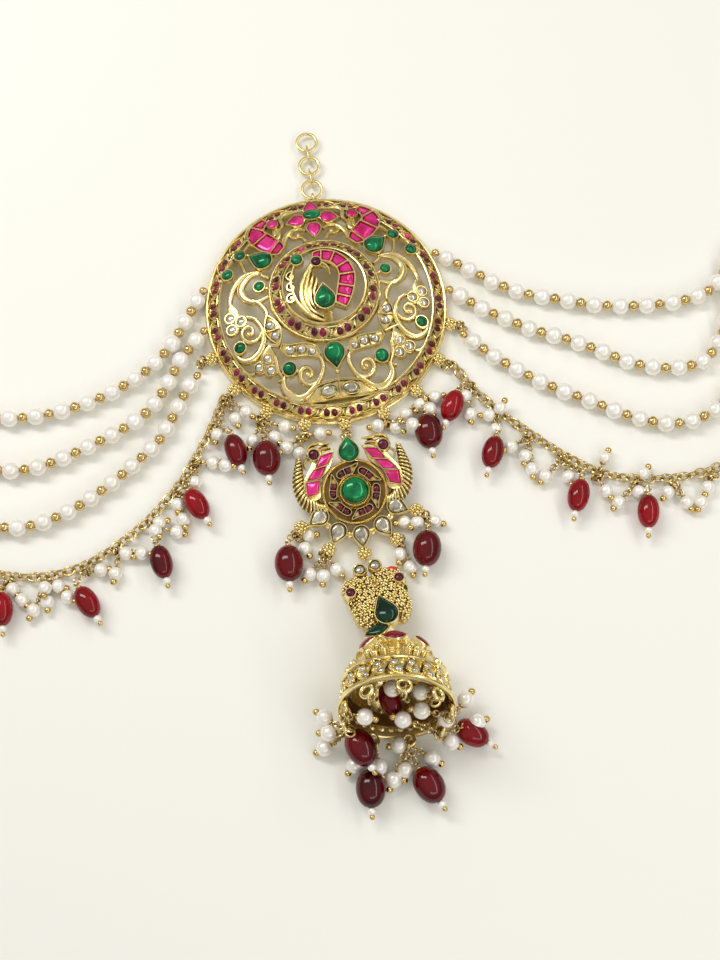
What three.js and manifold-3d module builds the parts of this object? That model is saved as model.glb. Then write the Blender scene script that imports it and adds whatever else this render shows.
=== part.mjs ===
// A domed temple-style hair brooch, lying on its back: a pierced medallion, three pearl strands and
// one chain to each side, and a centre row of plaque, bird charm and bell. Millimetres, +Z up.
// The origin is the middle of the brooch's back, +Y runs to the extender rings, +X to the right.
import * as THREE from 'three';
import Module from 'manifold-3d';
import { mergeVertices } from 'three/addons/utils/BufferGeometryUtils.js';

const wasm = await Module();
wasm.setup();

// ---------- driving dimensions ----------
const GAP = 0.35;                 // air between pieces that touch on the real brooch
const SETTING_WALL = 0.55;        // metal round a drop-shaped stone
const SLIVER = 0.12;              // detail smaller than this is dropped from a join
const DISC_R = 31;                // medallion
const RIM_BAND = 3.8;             // width of the set rim
const DOME_EDGE = 2.6;            // height of the dome's skin at the edge
const DOME_RISE = 6.4;            // how much higher the dome is at its middle
const SKIN = 1.1;                 // thickness of the cast openwork
const BOSS_CENTRE = [0, 2.2];     // the raised middle with the peacock
const BOSS_OUTER_R = 14.3;
const BOSS_INNER_R = 10.6;
const BOSS_RISE = 2.6;
const PEARL_R = 2.05;
const SPACER_R = 1.25;
const PAIR_PITCH = 6.6;           // one pearl and one gold spacer
const CHAIN_R = 1.3;
const WIRE_R = 0.42;
const RING_R = 2.6;               // extender rings, middle of the wire
const RING_PITCH = 7;
const PLAQUE_TILT = 11;           // degrees, the edge at the medallion is up
const BELL_R = 13.6;
const BELL_TILT = 22;             // degrees, the mouth looks up
const BELL_YAW = -7.5;
const BAR_THICK = 1.8;
const BAR_TOP = new THREE.Vector2(108.6, 4);      // end bars that gather the strands
const BAR_FOOT = new THREE.Vector2(113.4, -17.6);

const GOLD = { color: 0xc9a656, roughness: 0.36, metalness: 1 };
const PEARL = { color: 0xf3ece0, roughness: 0.25, metalness: 0.05 };
const RUBY_GLASS = { color: 0x7a0a1c, roughness: 0.08, metalness: 0 };
const EMERALD = { color: 0x0b6b3a, roughness: 0.08, metalness: 0 };

const TAU = 2 * Math.PI;
const brooch = new THREE.Group();
brooch.name = 'hair_brooch';

// ---------- solids ----------
function toSolid(geometry) {
  const bare = geometry.index ? geometry.toNonIndexed() : geometry.clone();
  bare.deleteAttribute('normal');
  bare.deleteAttribute('uv');
  const merged = mergeVertices(bare, 1e-4);
  const triVerts = new Uint32Array(merged.index.array);
  const vertProperties = new Float32Array(merged.attributes.position.array);
  return new wasm.Manifold(new wasm.Mesh({ numProp: 3, vertProperties, triVerts }));
}

function toGeometry(solid) {
  const mesh = solid.getMesh();
  const geometry = new THREE.BufferGeometry();
  const positions = new Float32Array(mesh.vertProperties);
  geometry.setAttribute('position', new THREE.BufferAttribute(positions, 3));
  geometry.setIndex(new THREE.BufferAttribute(new Uint32Array(mesh.triVerts), 1));
  return geometry;
}

// Joins parts into one solid, and drops the slivers that a join leaves.
function fuse(parts) {
  const solids = parts.map((part) => (part instanceof THREE.BufferGeometry ? toSolid(part) : part));
  return wasm.Manifold.union(solids).simplify(SLIVER);
}

function addNode(name, shape, finish) {
  const geometry = shape instanceof THREE.BufferGeometry ? shape : toGeometry(shape);
  geometry.computeVertexNormals();
  const mesh = new THREE.Mesh(geometry, new THREE.MeshStandardMaterial(finish));
  mesh.name = name;
  brooch.add(mesh);
}

const points2 = (pairs) => pairs.map(([x, y]) => new THREE.Vector2(x, y));

// A flat plate from an outline, with its faces at heights low and high.
function plate(outline, low, high) {
  const geometry = new THREE.ExtrudeGeometry(new THREE.Shape(outline), {
    depth: high - low,
    bevelEnabled: false,
  });
  return geometry.translate(0, 0, low);
}

// A curved strip through a few points, tapering from one width to the other by way of the middle.
function strip(pairs, widths, low, high, steps) {
  const curve = new THREE.SplineCurve(points2(pairs));
  const left = [];
  const right = [];
  for (let i = 0; i <= steps; i += 1) {
    const t = i / steps;
    const at = curve.getPoint(t);
    const ahead = curve.getTangent(t);
    const half = 0.5 * widthAt(widths, t);
    left.push(new THREE.Vector2(at.x - ahead.y * half, at.y + ahead.x * half));
    right.unshift(new THREE.Vector2(at.x + ahead.y * half, at.y - ahead.x * half));
  }
  return plate([...left, ...right], low, high);
}

function widthAt(widths, t) {
  const place = t * (widths.length - 1);
  const i = Math.min(Math.floor(place), widths.length - 2);
  return THREE.MathUtils.lerp(widths[i], widths[i + 1], place - i);
}

// A closed ring of revolution from a profile of [radius, height] pairs.
function revolved(profile, sides) {
  const loop = points2([...profile, profile[0]]);
  return new THREE.LatheGeometry(loop, sides).rotateX(Math.PI / 2);
}

// A body of revolution whose profile starts and ends on its axis.
function turned(profile, sides) {
  return new THREE.LatheGeometry(points2(profile), sides).rotateX(Math.PI / 2);
}

// A cut stone in its rim: a table and one facet for each side.
function cutStone(x, y, radius, low, high, sides = 8) {
  const stone = new THREE.CylinderGeometry(0.62 * radius, radius, high - low, sides);
  return stone.rotateX(Math.PI / 2).translate(x, y, 0.5 * (low + high));
}

// Outline of a drop: a round end of the given radius and a tip at the given reach.
function dropOutline(x, y, angle, radius, reach, steps = 9) {
  const open = Math.acos(radius / reach);
  const outline = [];
  for (let i = 0; i <= steps; i += 1) {
    const turn = angle + open + ((TAU - 2 * open) * i) / steps;
    outline.push(new THREE.Vector2(x + radius * Math.cos(turn), y + radius * Math.sin(turn)));
  }
  outline.push(new THREE.Vector2(x + reach * Math.cos(angle), y + reach * Math.sin(angle)));
  return outline;
}

function drop(x, y, angle, radius, reach, low, high, steps = 7) {
  return plate(dropOutline(x, y, THREE.MathUtils.degToRad(angle), radius, reach, steps), low, high);
}

// Outline of three round lobes, the first one at the given angle.
function trefoilOutline(x, y, angle) {
  const outline = [];
  for (let i = 0; i < 12; i += 1) {
    const turn = (TAU * i) / 12;
    const reach = 2.6 + 0.55 * Math.cos(3 * turn);
    outline.push(new THREE.Vector2(x + reach * Math.cos(turn + angle), y + reach * Math.sin(turn + angle)));
  }
  return outline;
}

// A drop-shaped setting with a pocket that its own stone lies in.
function dropSetting(x, y, angle, radius, reach, low, high) {
  const wall = SETTING_WALL;
  const pocket = drop(x, y, angle, radius - wall, reach - 1.6 * wall, high - 0.8, high + 1);
  return toSolid(drop(x, y, angle, radius, reach, low, high)).subtract(toSolid(pocket));
}

// The stone for such a setting, with a smaller table above its girdle.
function dropStone(x, y, angle, radius, reach, low, high) {
  const turn = THREE.MathUtils.degToRad(angle);
  const girdle = dropOutline(x, y, turn, radius, reach);
  const centre = new THREE.Vector2(x, y);
  const geometry = plate(girdle, low, high);
  const position = geometry.attributes.position;
  for (let i = 0; i < position.count; i += 1) {
    if (position.getZ(i) > high - 1e-3) {
      const at = new THREE.Vector2(position.getX(i), position.getY(i)).lerp(centre, 0.42);
      position.setXY(i, at.x, at.y);
    }
  }
  return geometry;
}

// A small round ball, eight-sided.
function ball(radius, x, y, z) {
  const shoulder = 0.92 * radius;
  const profile = [[0, -radius], [shoulder, -0.5 * radius], [shoulder, 0.5 * radius], [0, radius]];
  return turned(profile, 8).translate(x, y, z);
}

function ringSolid(radius, wire, around = 10, section = 5) {
  return new THREE.TorusGeometry(radius, wire, section, around);
}

// ---------- the dome ----------
function bossDistance(x, y) {
  return Math.hypot(x - BOSS_CENTRE[0], y - BOSS_CENTRE[1]);
}

// Height of the medallion's skin: a shallow dome with a raised boss in it.
function skinHeight(x, y) {
  const edge = Math.hypot(x, y) / DISC_R;
  const step = (BOSS_OUTER_R - bossDistance(x, y)) / (BOSS_OUTER_R - BOSS_INNER_R);
  return DOME_EDGE + DOME_RISE * (1 - edge * edge) + BOSS_RISE * THREE.MathUtils.clamp(step, 0, 1);
}

// Lays a flat solid on the dome.
function drape(part) {
  const solid = part instanceof THREE.BufferGeometry ? toSolid(part) : part;
  return solid.warp((at) => {
    at[2] += skinHeight(at[0], at[1]);
  });
}

function mirrored(parts) {
  const one = fuse(parts);
  return [one, one.mirror([1, 0, 0])];
}

// ---------- medallion ----------
const RELIEF = 0.5;               // scrolls stand this high above the skin
const SET_HIGH = 1.1;             // settings stand higher

const SMALL_GREENS = [[19.9, 16.4], [24, 11.5], [16.4, 5.8], [23.9, -9.2], [11.7, -17.2]];
const TREFOILS = [[24.4, -2, 60], [17.3, -15, -10]];
const SCROLLS = [
  { name: 'shoulder', through: [[15.5, 10.4], [20.4, 10], [23.8, 5], [24.4, 0]], widths: [1, 1.1, 1.2], steps: 4 },
  { name: 'link_to_shoulder', through: [[19.9, 15.6], [19.1, 10]], widths: [0.9, 0.9], steps: 1 },
  { name: 'crescent', through: [[15.2, 9.9], [19.6, 9.3], [20.9, 5.6], [18.4, 2.6], [13.4, 3.6]],
    widths: [0.7, 1.5, 1.3, 0.8], steps: 5 },
  { name: 'green_to_boss', through: [[16.4, 5.8], [13.6, 5.2]], widths: [1, 1], steps: 1 },
  { name: 'leaf_stem', through: [[17.6, 3], [15.6, 0.2], [15.4, -3.4]], widths: [0.8, 1], steps: 2 },
  { name: 'side_bow', through: [[21.4, -1.6], [17.4, -4], [17.6, -9], [21, -12.4], [24, -9.6]],
    widths: [0.8, 1.1, 1.3, 1], steps: 5 },
  { name: 'side_curl', through: [[17.3, -6], [20, -7.5], [21.6, -5.6], [20, -4.2], [19.4, -5.6]],
    widths: [0.8, 0.9, 0.7], steps: 4 },
  { name: 'foot_to_trefoil', through: [[14.4, -9.6], [16, -11.2], [14.8, -14.4], [13, -18]], widths: [1, 1.2, 0.9], steps: 3 },
  { name: 'heart', through: [[4.2, -14.6], [3.6, -18], [7, -22.8], [11, -24.2], [13.9, -21.2], [12.4, -18]],
    widths: [1.2, 0.9, 1.4, 1.1], steps: 5 },
  { name: 'heart_curl', through: [[4.6, -20.2], [7, -20.8], [8.6, -18.8], [7, -17.6], [6.5, -19]],
    widths: [0.8, 0.9, 0.7], steps: 4 },
  { name: 'crest', through: [[4.2, 26.8], [7.4, 26.2], [8.4, 22.6], [10.6, 22.2]], widths: [0.8, 1, 0.8], steps: 3 },
  { name: 'neck', through: [[1.5, 20], [5.4, 20.6], [8.4, 17.6], [9, 14.2]], widths: [0.8, 1, 0.9], steps: 3 },
];
const STONE_ROW = { through: [[13.7, -9.4], [10.8, -12.4], [7.6, -12.9], [4.2, -14.8]], widths: [1.4, 3.1, 3.1, 1.6] };
const LEAF_PAIR = { through: [[15.2, -2.8], [14.4, -6.4], [13.2, -10]], widths: [0.7, 3.5, 3.5, 0.7] };
const PEACOCK_BODY = { through: [[11.6, 25.4], [14.6, 23.6], [14.4, 19.6], [9.6, 15.2]], widths: [2.4, 4.6, 5, 3.2] };
const SIDE_DROP = { x: 14.55, y: 13.4, angle: 33, radius: 2.85, reach: 3.9 };
const FOOT_DROP = { x: 0, y: -14.9, angle: -90, radius: 2.9, reach: 4.6 };
const BOSS_DROP = { x: -0.4, y: -1.4, angle: 95, radius: 2.8, reach: 4.6 };
const PETALS = [[0, 26.6, 90], [-3.9, 23.9, 195], [3.9, 23.9, -15], [0, 20.9, -90]];
const FEATHERS = [
  { through: [[-7, 10], [-8, 3], [-5.4, -3.4], [0.6, -6.8]], steps: 5 },
  { through: [[-5.4, 10.6], [-5.6, 3.4], [-4, -2], [-1, -5.6]], steps: 4 },
  { through: [[-2.4, 8.2], [-3.6, 4], [-2.4, -0.4]], steps: 2 },
];

// Ornament is made flat, at heights above or below the dome's skin, and draped in one piece.
function rim() {
  const inner = DISC_R - RIM_BAND;
  const foot = (radius) => -skinHeight(radius, 0);
  const profile = [
    [DISC_R - 0.8, foot(DISC_R - 0.8)],
    [DISC_R, foot(DISC_R)],
    [DISC_R - 0.1, -0.3],
    [DISC_R - 0.8, -0.9],
    [inner + 0.7, 0],
    [inner + 0.1, 0.7],
    [inner, -SKIN],
    [DISC_R - 0.8, -SKIN],
  ];
  return revolved(profile, 32);
}

// The band round the boss climbs from the dome to the peacock's level, between two raised edges.
function bossBand() {
  const profile = [
    [BOSS_INNER_R - 0.7, -SKIN],
    [BOSS_OUTER_R, -SKIN],
    [BOSS_OUTER_R - 0.1, 0.8],
    [BOSS_OUTER_R - 0.8, 0],
    [BOSS_INNER_R + 0.1, 0],
    [BOSS_INNER_R - 0.6, 0.7],
  ];
  return revolved(profile, 20).translate(...BOSS_CENTRE, 0);
}

function sideOrnament() {
  const parts = [];
  for (const scroll of SCROLLS) {
    parts.push(strip(scroll.through, scroll.widths, -SKIN, RELIEF, scroll.steps));
  }
  parts.push(strip(STONE_ROW.through, STONE_ROW.widths, -SKIN, SET_HIGH, 4));
  parts.push(strip(PEACOCK_BODY.through, PEACOCK_BODY.widths, -SKIN, SET_HIGH, 4));
  parts.push(strip(LEAF_PAIR.through, LEAF_PAIR.widths, -SKIN, SET_HIGH, 3));
  parts.push(cutStone(10.4, 23.9, 1.9, -SKIN, SET_HIGH + 0.3));
  for (const [x, y] of SMALL_GREENS) {
    parts.push(cutStone(x, y, 1.75, -SKIN, SET_HIGH));
  }
  for (const [x, y, angle] of TREFOILS) {
    parts.push(plate(trefoilOutline(x, y, THREE.MathUtils.degToRad(angle)), -SKIN, SET_HIGH));
  }
  return parts;
}

function centreOrnament() {
  const parts = [];
  for (const [x, y, angle] of PETALS) {
    parts.push(drop(x, y, angle, 1.7, 2.7, -SKIN, SET_HIGH, 5));
  }
  parts.push(cutStone(0, 0, 1.7, -SKIN, SET_HIGH + 0.5).scale(1.5, 1, 1).translate(0, 24.3, 0));
  parts.push(strip([[0, -18.6], [0, -22]], [1, 1], -SKIN, RELIEF, 1));
  parts.push(strip([[-9, -26], [0, -24], [9, -26]], [1.6, 4.6, 4.6, 4.6, 1.6], -SKIN, RELIEF, 6));
  for (const x of [-2.7, 2.7]) {
    parts.push(cutStone(0, 0, 1.5, 0, SET_HIGH, 8).scale(1.45, 1, 1).translate(x, -23.7, 0));
  }
  return parts;
}

function peacockOnBoss() {
  const tailCentre = [0.3, 4.6];
  const tail = [];
  for (let turn = 95; turn >= -55; turn -= 30) {
    const angle = THREE.MathUtils.degToRad(turn);
    tail.push([tailCentre[0] + 6.7 * Math.cos(angle), tailCentre[1] + 6.7 * Math.sin(angle)]);
  }
  const parts = [strip(tail, [1.6, 3.2, 3.4, 3.4, 3.8], -SKIN, SET_HIGH, 7)];
  parts.push(cutStone(-1.2, 9, 1.9, -SKIN, SET_HIGH + 0.3));
  parts.push(strip([[-0.8, 8.6], [1.6, 6.4]], [1.4, 0.5], -SKIN, RELIEF, 1));
  parts.push(cutStone(-6, 9.9, 1.75, -SKIN, SET_HIGH));
  for (const feather of FEATHERS) {
    parts.push(strip(feather.through, [0.8, 1.3, 1], -SKIN, RELIEF, feather.steps));
  }
  parts.push(strip([[-3, -6], [4, -5.4]], [1, 1], -SKIN, RELIEF, 2));
  return parts;
}

// Granulated balls and the extender's loop are soldered to the rim's wall.
function rimBalls() {
  const balls = [];
  const reach = DISC_R + 1;
  for (let i = -4; i <= 4; i += 1) {
    const turn = THREE.MathUtils.degToRad(-90 + 18.3 * i);
    balls.push(ball(1.6, reach * Math.cos(turn), reach * Math.sin(turn), 1.7));
  }
  return balls;
}

function extenderLoop() {
  const loop = ringSolid(1.15, 0.35).rotateY(Math.PI / 2);
  return loop.translate(1.3, DISC_R + 0.7, 1.5);
}

const DROPS = [
  { name: 'side_drop_right', ...SIDE_DROP },
  { name: 'side_drop_left', ...SIDE_DROP, x: -SIDE_DROP.x, angle: 180 - SIDE_DROP.angle },
  { name: 'foot_drop', ...FOOT_DROP },
  { name: 'boss_drop', ...BOSS_DROP },
];

function medallion() {
  let flat = fuse([rim(), bossBand(), ...mirrored(sideOrnament()), ...centreOrnament(), ...peacockOnBoss()]);
  for (const { x, y, angle, radius, reach } of DROPS) {
    flat = flat.subtract(toSolid(drop(x, y, angle, radius - 0.1, reach - 0.2, -2, 5)));
  }
  const settings = DROPS.map(({ x, y, angle, radius, reach }) => (
    dropSetting(x, y, angle, radius, reach, -SKIN, SET_HIGH)));
  return fuse([drape(fuse([flat, ...settings])), ...rimBalls(), extenderLoop()]);
}

function dropStones() {
  const inset = SETTING_WALL + 1.35 * GAP;
  for (const { name, x, y, angle, radius, reach } of DROPS) {
    const stone = dropStone(x, y, angle, radius - inset, reach - 1.6 * inset, SET_HIGH - 0.8 + GAP, SET_HIGH + 0.9);
    addNode(name, drape(stone), EMERALD);
  }
}

// ---------- back pin: a plain bar behind the dome, flush with the rim's foot ----------
const PIN_WIDTH = 2.8;
const PIN_THICK = 0.9;
const PIN_ENDS = [-15, 2.5];
const PIN_POSTS = [-13.5, -0.8];  // each post ends just under the setting above it

function backPin() {
  const span = PIN_ENDS[1] - PIN_ENDS[0];
  const parts = [new THREE.BoxGeometry(PIN_WIDTH, span, PIN_THICK).translate(0, PIN_ENDS[0] + 0.5 * span, 0.5 * PIN_THICK)];
  for (const y of PIN_POSTS) {
    const top = skinHeight(0, y) - SKIN - 2 * GAP;
    parts.push(new THREE.BoxGeometry(1.6, 1.6, top).translate(0, y, 0.5 * top));
  }
  return fuse(parts);
}

// ---------- strands ----------
// Where string number i of a side ends, at a clear distance from the middle of its end bar.
function barTie(i, side, clear) {
  const along = new THREE.Vector2().lerpVectors(BAR_TOP, BAR_FOOT, 0.08 + 0.28 * i);
  const inward = new THREE.Vector2(BAR_FOOT.y - BAR_TOP.y, BAR_TOP.x - BAR_FOOT.x).normalize();
  along.addScaledVector(inward, clear);
  return [side * along.x, along.y];
}

const STRANDS = [
  { name: 'pearl_strand_right_1', tie: 0, side: 1,
    route: [[32.2, 9.4], [38.2, 4.7], [44, 0], [51, -4], [60, -7.2], [68, -9.9], [76, -11.5], [84, -12.3],
      [92, -12.1], [98.6, -10.2], [103.2, -5.6]] },
  { name: 'pearl_strand_right_2', tie: 1, side: 1,
    route: [[33, -0.8], [39.6, -6.6], [45.2, -10.4], [51, -14.2], [59, -18], [67, -22.6], [75, -27.4], [84, -29.9],
      [92, -29.4], [97.8, -24], [101.6, -16.4], [105, -9.6]] },
  { name: 'pearl_strand_right_3', tie: 2, side: 1,
    route: [[34.6, -14], [40, -19.8], [46, -25], [53, -30.2], [62, -35.6], [71, -41], [80, -44.4], [88, -44.2],
      [96, -40], [102, -32], [105.4, -23.4], [106.8, -16.4]] },
  { name: 'pearl_strand_left_1', tie: 0, side: -1,
    route: [[-32, 7.6], [-36, 2], [-40.5, -4], [-46, -9], [-53, -12.9], [-61, -15.8], [-69.5, -17.4], [-78, -17.8],
      [-86, -16.6], [-94, -13.2], [-101, -7.4]] },
  { name: 'pearl_strand_left_2', tie: 1, side: -1,
    route: [[-33, -2.8], [-38.6, -8.6], [-43, -15], [-48, -20.6], [-55, -24.6], [-63, -27.5], [-71, -30],
      [-79, -31.4], [-87, -30.4], [-95, -25.6], [-101, -17.6], [-105.2, -10]] },
  { name: 'pearl_strand_left_3', tie: 2, side: -1,
    route: [[-34.8, -13.4], [-38, -16.8], [-42, -23], [-46.5, -29], [-53, -34], [-60, -38.6], [-68, -42.8],
      [-77, -45.6], [-86, -45.6], [-94.6, -41.6], [-101.4, -33.4], [-105.4, -24.4], [-106.8, -16.4]] },
];
const CHAINS = [
  { name: 'side_chain_right', tie: 3, side: 1,
    route: [[29.4, -19.8], [33, -26.8], [39, -34.6], [46, -42], [54, -49.4], [63, -55.2], [73, -57.6], [83, -58.2],
      [92, -56.4], [101, -50], [107.6, -40], [110.8, -28]] },
  { name: 'side_chain_left', tie: 3, side: -1,
    route: [[-29.4, -20.6], [-34, -28.6], [-41, -38.6], [-47, -45], [-54, -50.6], [-62, -55.2], [-70, -58.2],
      [-78, -59], [-87, -57.4], [-96, -53.2], [-104, -45.4], [-109.2, -34.6], [-111.2, -25]] },
];

function routeCurve(row, height, clear) {
  const path = [...row.route, barTie(row.tie, row.side, clear)];
  return new THREE.CatmullRomCurve3(path.map(([x, y]) => new THREE.Vector3(x, y, height)), false, 'centripetal');
}

// Rings of points round a level curve, joined from one ring to the next. A ring has ten points on a
// bead and three on the thread, and each end is closed flat.
function skinRings(rings) {
  const vertices = [];
  const faces = [];
  const starts = [];
  for (const ring of rings) {
    starts.push(vertices.length / 3);
    for (let k = 0; k < ring.count; k += 1) {
      const turn = (TAU * k) / ring.count - 0.5 * Math.PI;
      const out = ring.radius * Math.cos(turn);
      const up = ring.radius * Math.sin(turn);
      vertices.push(ring.at.x + ring.across.x * out, ring.at.y + ring.across.y * out, ring.at.z + up);
    }
  }
  const triangle = (a, b, c) => faces.push(a, b, c);
  for (let i = 0; i + 1 < rings.length; i += 1) {
    joinRings(starts[i], rings[i].count, starts[i + 1], rings[i + 1].count, triangle);
  }
  const last = rings.length - 1;
  for (let k = 1; k + 1 < rings[0].count; k += 1) {
    triangle(starts[0], starts[0] + k, starts[0] + k + 1);
  }
  for (let k = 1; k + 1 < rings[last].count; k += 1) {
    triangle(starts[last], starts[last] + k + 1, starts[last] + k);
  }
  const geometry = new THREE.BufferGeometry();
  geometry.setAttribute('position', new THREE.Float32BufferAttribute(vertices, 3));
  geometry.setIndex(faces);
  return geometry;
}

function joinRings(first, firstCount, second, secondCount, triangle) {
  const steps = Math.max(firstCount, secondCount);
  const on = (start, count, k) => start + (Math.floor((k * count) / steps) % count);
  for (let k = 0; k < steps; k += 1) {
    const a = on(first, firstCount, k);
    const b = on(first, firstCount, k + 1);
    const c = on(second, secondCount, k);
    const d = on(second, secondCount, k + 1);
    if (a !== b) {
      triangle(a, d, b);
    }
    if (c !== d) {
      triangle(a, c, d);
    }
  }
}

// One pearl and one gold spacer repeat along the route.
const PEARL_SHOULDER = 0.92 * PEARL_R;
const PAIR_PROFILE = [
  { at: 0.02, radius: 0.55, count: 3 },
  { at: 0.18, radius: PEARL_SHOULDER, count: 10 },
  { at: 0.44, radius: PEARL_SHOULDER, count: 10 },
  { at: 0.6, radius: 0.55, count: 3 },
  { at: 0.8, radius: SPACER_R, count: 10 },
];

function strand(row) {
  const curve = routeCurve(row, PEARL_SHOULDER, 0.5 * BAR_THICK + 2 * GAP);
  const pairs = Math.round(curve.getLength() / PAIR_PITCH);
  const rings = [];
  for (let pair = 0; pair < pairs; pair += 1) {
    for (const step of PAIR_PROFILE) {
      const t = (pair + step.at) / pairs;
      rings.push({ ...step, at: curve.getPointAt(t), across: acrossCurve(curve, t) });
    }
  }
  rings.push({ at: curve.getPointAt(1), across: acrossCurve(curve, 1), radius: 0.55, count: 3 });
  return skinRings(rings);
}

function acrossCurve(curve, t) {
  const ahead = curve.getTangentAt(t);
  return new THREE.Vector3(ahead.y, -ahead.x, 0).normalize();
}

function chainTube(row) {
  const section = new THREE.Shape();
  section.absarc(0, 0, CHAIN_R, 0, TAU);
  const curve = routeCurve(row, CHAIN_R, 0.5 * BAR_THICK + CHAIN_R + GAP);
  return new THREE.ExtrudeGeometry(section, { extrudePath: curve, steps: 15, curveSegments: 4 });
}

function endBar(side) {
  const along = new THREE.Vector2().subVectors(BAR_FOOT, BAR_TOP);
  const centre = new THREE.Vector2().addVectors(BAR_TOP, BAR_FOOT).multiplyScalar(0.5);
  const rod = new THREE.BoxGeometry(BAR_THICK, along.length(), BAR_THICK);
  const ring = ringSolid(2.4, 0.6).translate(2.9, 0, 0);
  const turn = Math.atan2(-along.x, -along.y);
  const bar = fuse([rod, ring]).rotate([0, 0, -THREE.MathUtils.radToDeg(turn)]);
  const placed = bar.translate([centre.x, centre.y, PEARL_R]);
  return side > 0 ? placed : placed.mirror([1, 0, 0]);
}

// ---------- extender: three rings joined by two small upright links ----------
function extender() {
  const flat = 1.5;
  const firstRing = DISC_R + 0.7 + RING_R;
  for (let i = 0; i < 3; i += 1) {
    const ring = ringSolid(RING_R, WIRE_R).translate(1.4 + 0.3 * i, firstRing + RING_PITCH * i, flat);
    addNode(`extender_ring_${i + 1}`, ring, GOLD);
  }
  for (let i = 0; i < 2; i += 1) {
    const link = ringSolid(1.24, 0.28).scale(1.9, 1, 1).rotateZ(Math.PI / 2).rotateY(Math.PI / 2);
    const at = [1.55 + 0.3 * i, firstRing + RING_PITCH * (i + 0.5), flat];
    addNode(`extender_link_${i + 1}`, link.translate(...at), GOLD);
  }
}

// ---------- plaque: two peacocks round a set disc, with a fan of five drops ----------
const PLAQUE_AT = [-0.5, -49.4, 3.4];
const PLAQUE_THICK = 2.4;
const PLAQUE_FLOOR = 1.5;
const PLAQUE_FAN = [
  { name: 'fan_1', angle: 208 },
  { name: 'fan_2', angle: 239 },
  { name: 'fan_3', angle: 270 },
  { name: 'fan_4', angle: 301 },
  { name: 'fan_5', angle: 332 },
];

function plaqueSide() {
  const body = strip([[4, 9.6], [8, 6.2], [9, 0.8]], [3, 4.4, 3.6], 0, PLAQUE_THICK, 3);
  const tail = strip([[12.2, 9], [13.2, 3.8], [11, -1.6], [7, -3.4]], [1.6, 3.6, 3.6, 2], 0, PLAQUE_THICK, 5);
  const head = cutStone(8.6, 9.4, 2, 0, 3);
  const beak = strip([[8, 10.2], [5.2, 11.6]], [1.8, 0.6], 0, PLAQUE_THICK, 1);
  return [body, tail, head, beak];
}

function plaque() {
  const parts = [...mirrored(plaqueSide())];
  parts.push(turned([[0, 0], [7.8, 0], [7.7, PLAQUE_THICK], [7, PLAQUE_FLOOR], [3.9, PLAQUE_FLOOR], [3.6, 3.2],
    [3.1, 3.2], [3.1, 2.4], [0, 2.4]], 14));
  for (let i = 0; i < 6; i += 1) {
    const turn = THREE.MathUtils.degToRad(60 * i - 10);
    const at = [5.3 * Math.cos(turn), 5.3 * Math.sin(turn)];
    parts.push(drop(...at, 60 * i - 80, 1.1, 2.2, 1, PLAQUE_THICK, 4));
  }
  for (const { angle } of PLAQUE_FAN) {
    const turn = THREE.MathUtils.degToRad(angle);
    const out = (reach) => [reach * Math.cos(turn), reach * Math.sin(turn)];
    parts.push(drop(...out(10.2), angle, 2.2, 4.1, 0, PLAQUE_THICK, 5));
    parts.push(strip([out(7), out(15.6)], [1.3, 1.3], 0.4, 1.8, 1));
    parts.push(ball(1.6, ...out(16.2), 1.8));
  }
  parts.push(dropSetting(0, 9.6, 90, 2.5, 3.9, 0, 2.8));
  return fuse(parts);
}

function onPlaque(solid) {
  return solid.rotate([PLAQUE_TILT, 0, 0]).translate(PLAQUE_AT);
}

function plaqueNodes() {
  addNode('plaque', onPlaque(plaque()), GOLD);
  const centre = turned([[0, 2.4 + GAP], [2.75, 2.4 + GAP], [2.75, 3.4], [1.6, 4.4], [0, 4.4]], 12);
  addNode('plaque_centre_stone', onPlaque(toSolid(centre)), EMERALD);
  const crown = dropStone(0, 9.6, 90, 1.55, 2.4, 2 + GAP, 3.6);
  addNode('plaque_top_stone', onPlaque(toSolid(crown)), EMERALD);
  addNode('plaque_jump_ring', ringSolid(1.15, 0.35).rotateY(Math.PI / 2).translate(-0.4, -35.7, 3), GOLD);
}

// ---------- bird charm ----------
const CHARM_AT = [0.4, -77.2, 4.2];
const CHARM_TILT = -14;           // degrees, the end at the bell is up
const CHARM_YAW = 10;

function birdCharm() {
  const half = points2([[0, 5.6], [2.6, 6.2], [5.2, 6], [7.5, 4.6], [8, 2.2], [7, -0.4], [7.2, -3.6], [6.3, -6.5],
    [4.3, -8.1], [2.2, -8], [0, -8.6]]);
  const other = half.slice(1, -1).reverse().map((point) => new THREE.Vector2(-point.x, point.y));
  const shape = new THREE.Shape([...half, ...other]);
  const body = new THREE.ExtrudeGeometry(shape, {
    depth: 1.8,
    bevelThickness: 0.9,
    bevelSize: 0.7,
    bevelOffset: -0.7,
    bevelSegments: 1,
  });
  const parts = [body.translate(0, 0, -0.9), dropSetting(0.3, -5, 92, 2.7, 4.3, 0, 3.2)];
  for (const side of [-1, 1]) {
    parts.push(cutStone(side * 1.9, 7.2, 1.7, 0, 3));
    parts.push(cutStone(side * 6.2, 2.6, 1.4, 0, 3.2));
  }
  return fuse(parts);
}

function onCharm(solid) {
  return solid.rotate([0, 0, CHARM_YAW]).rotate([CHARM_TILT, 0, 0]).translate(CHARM_AT);
}

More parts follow.
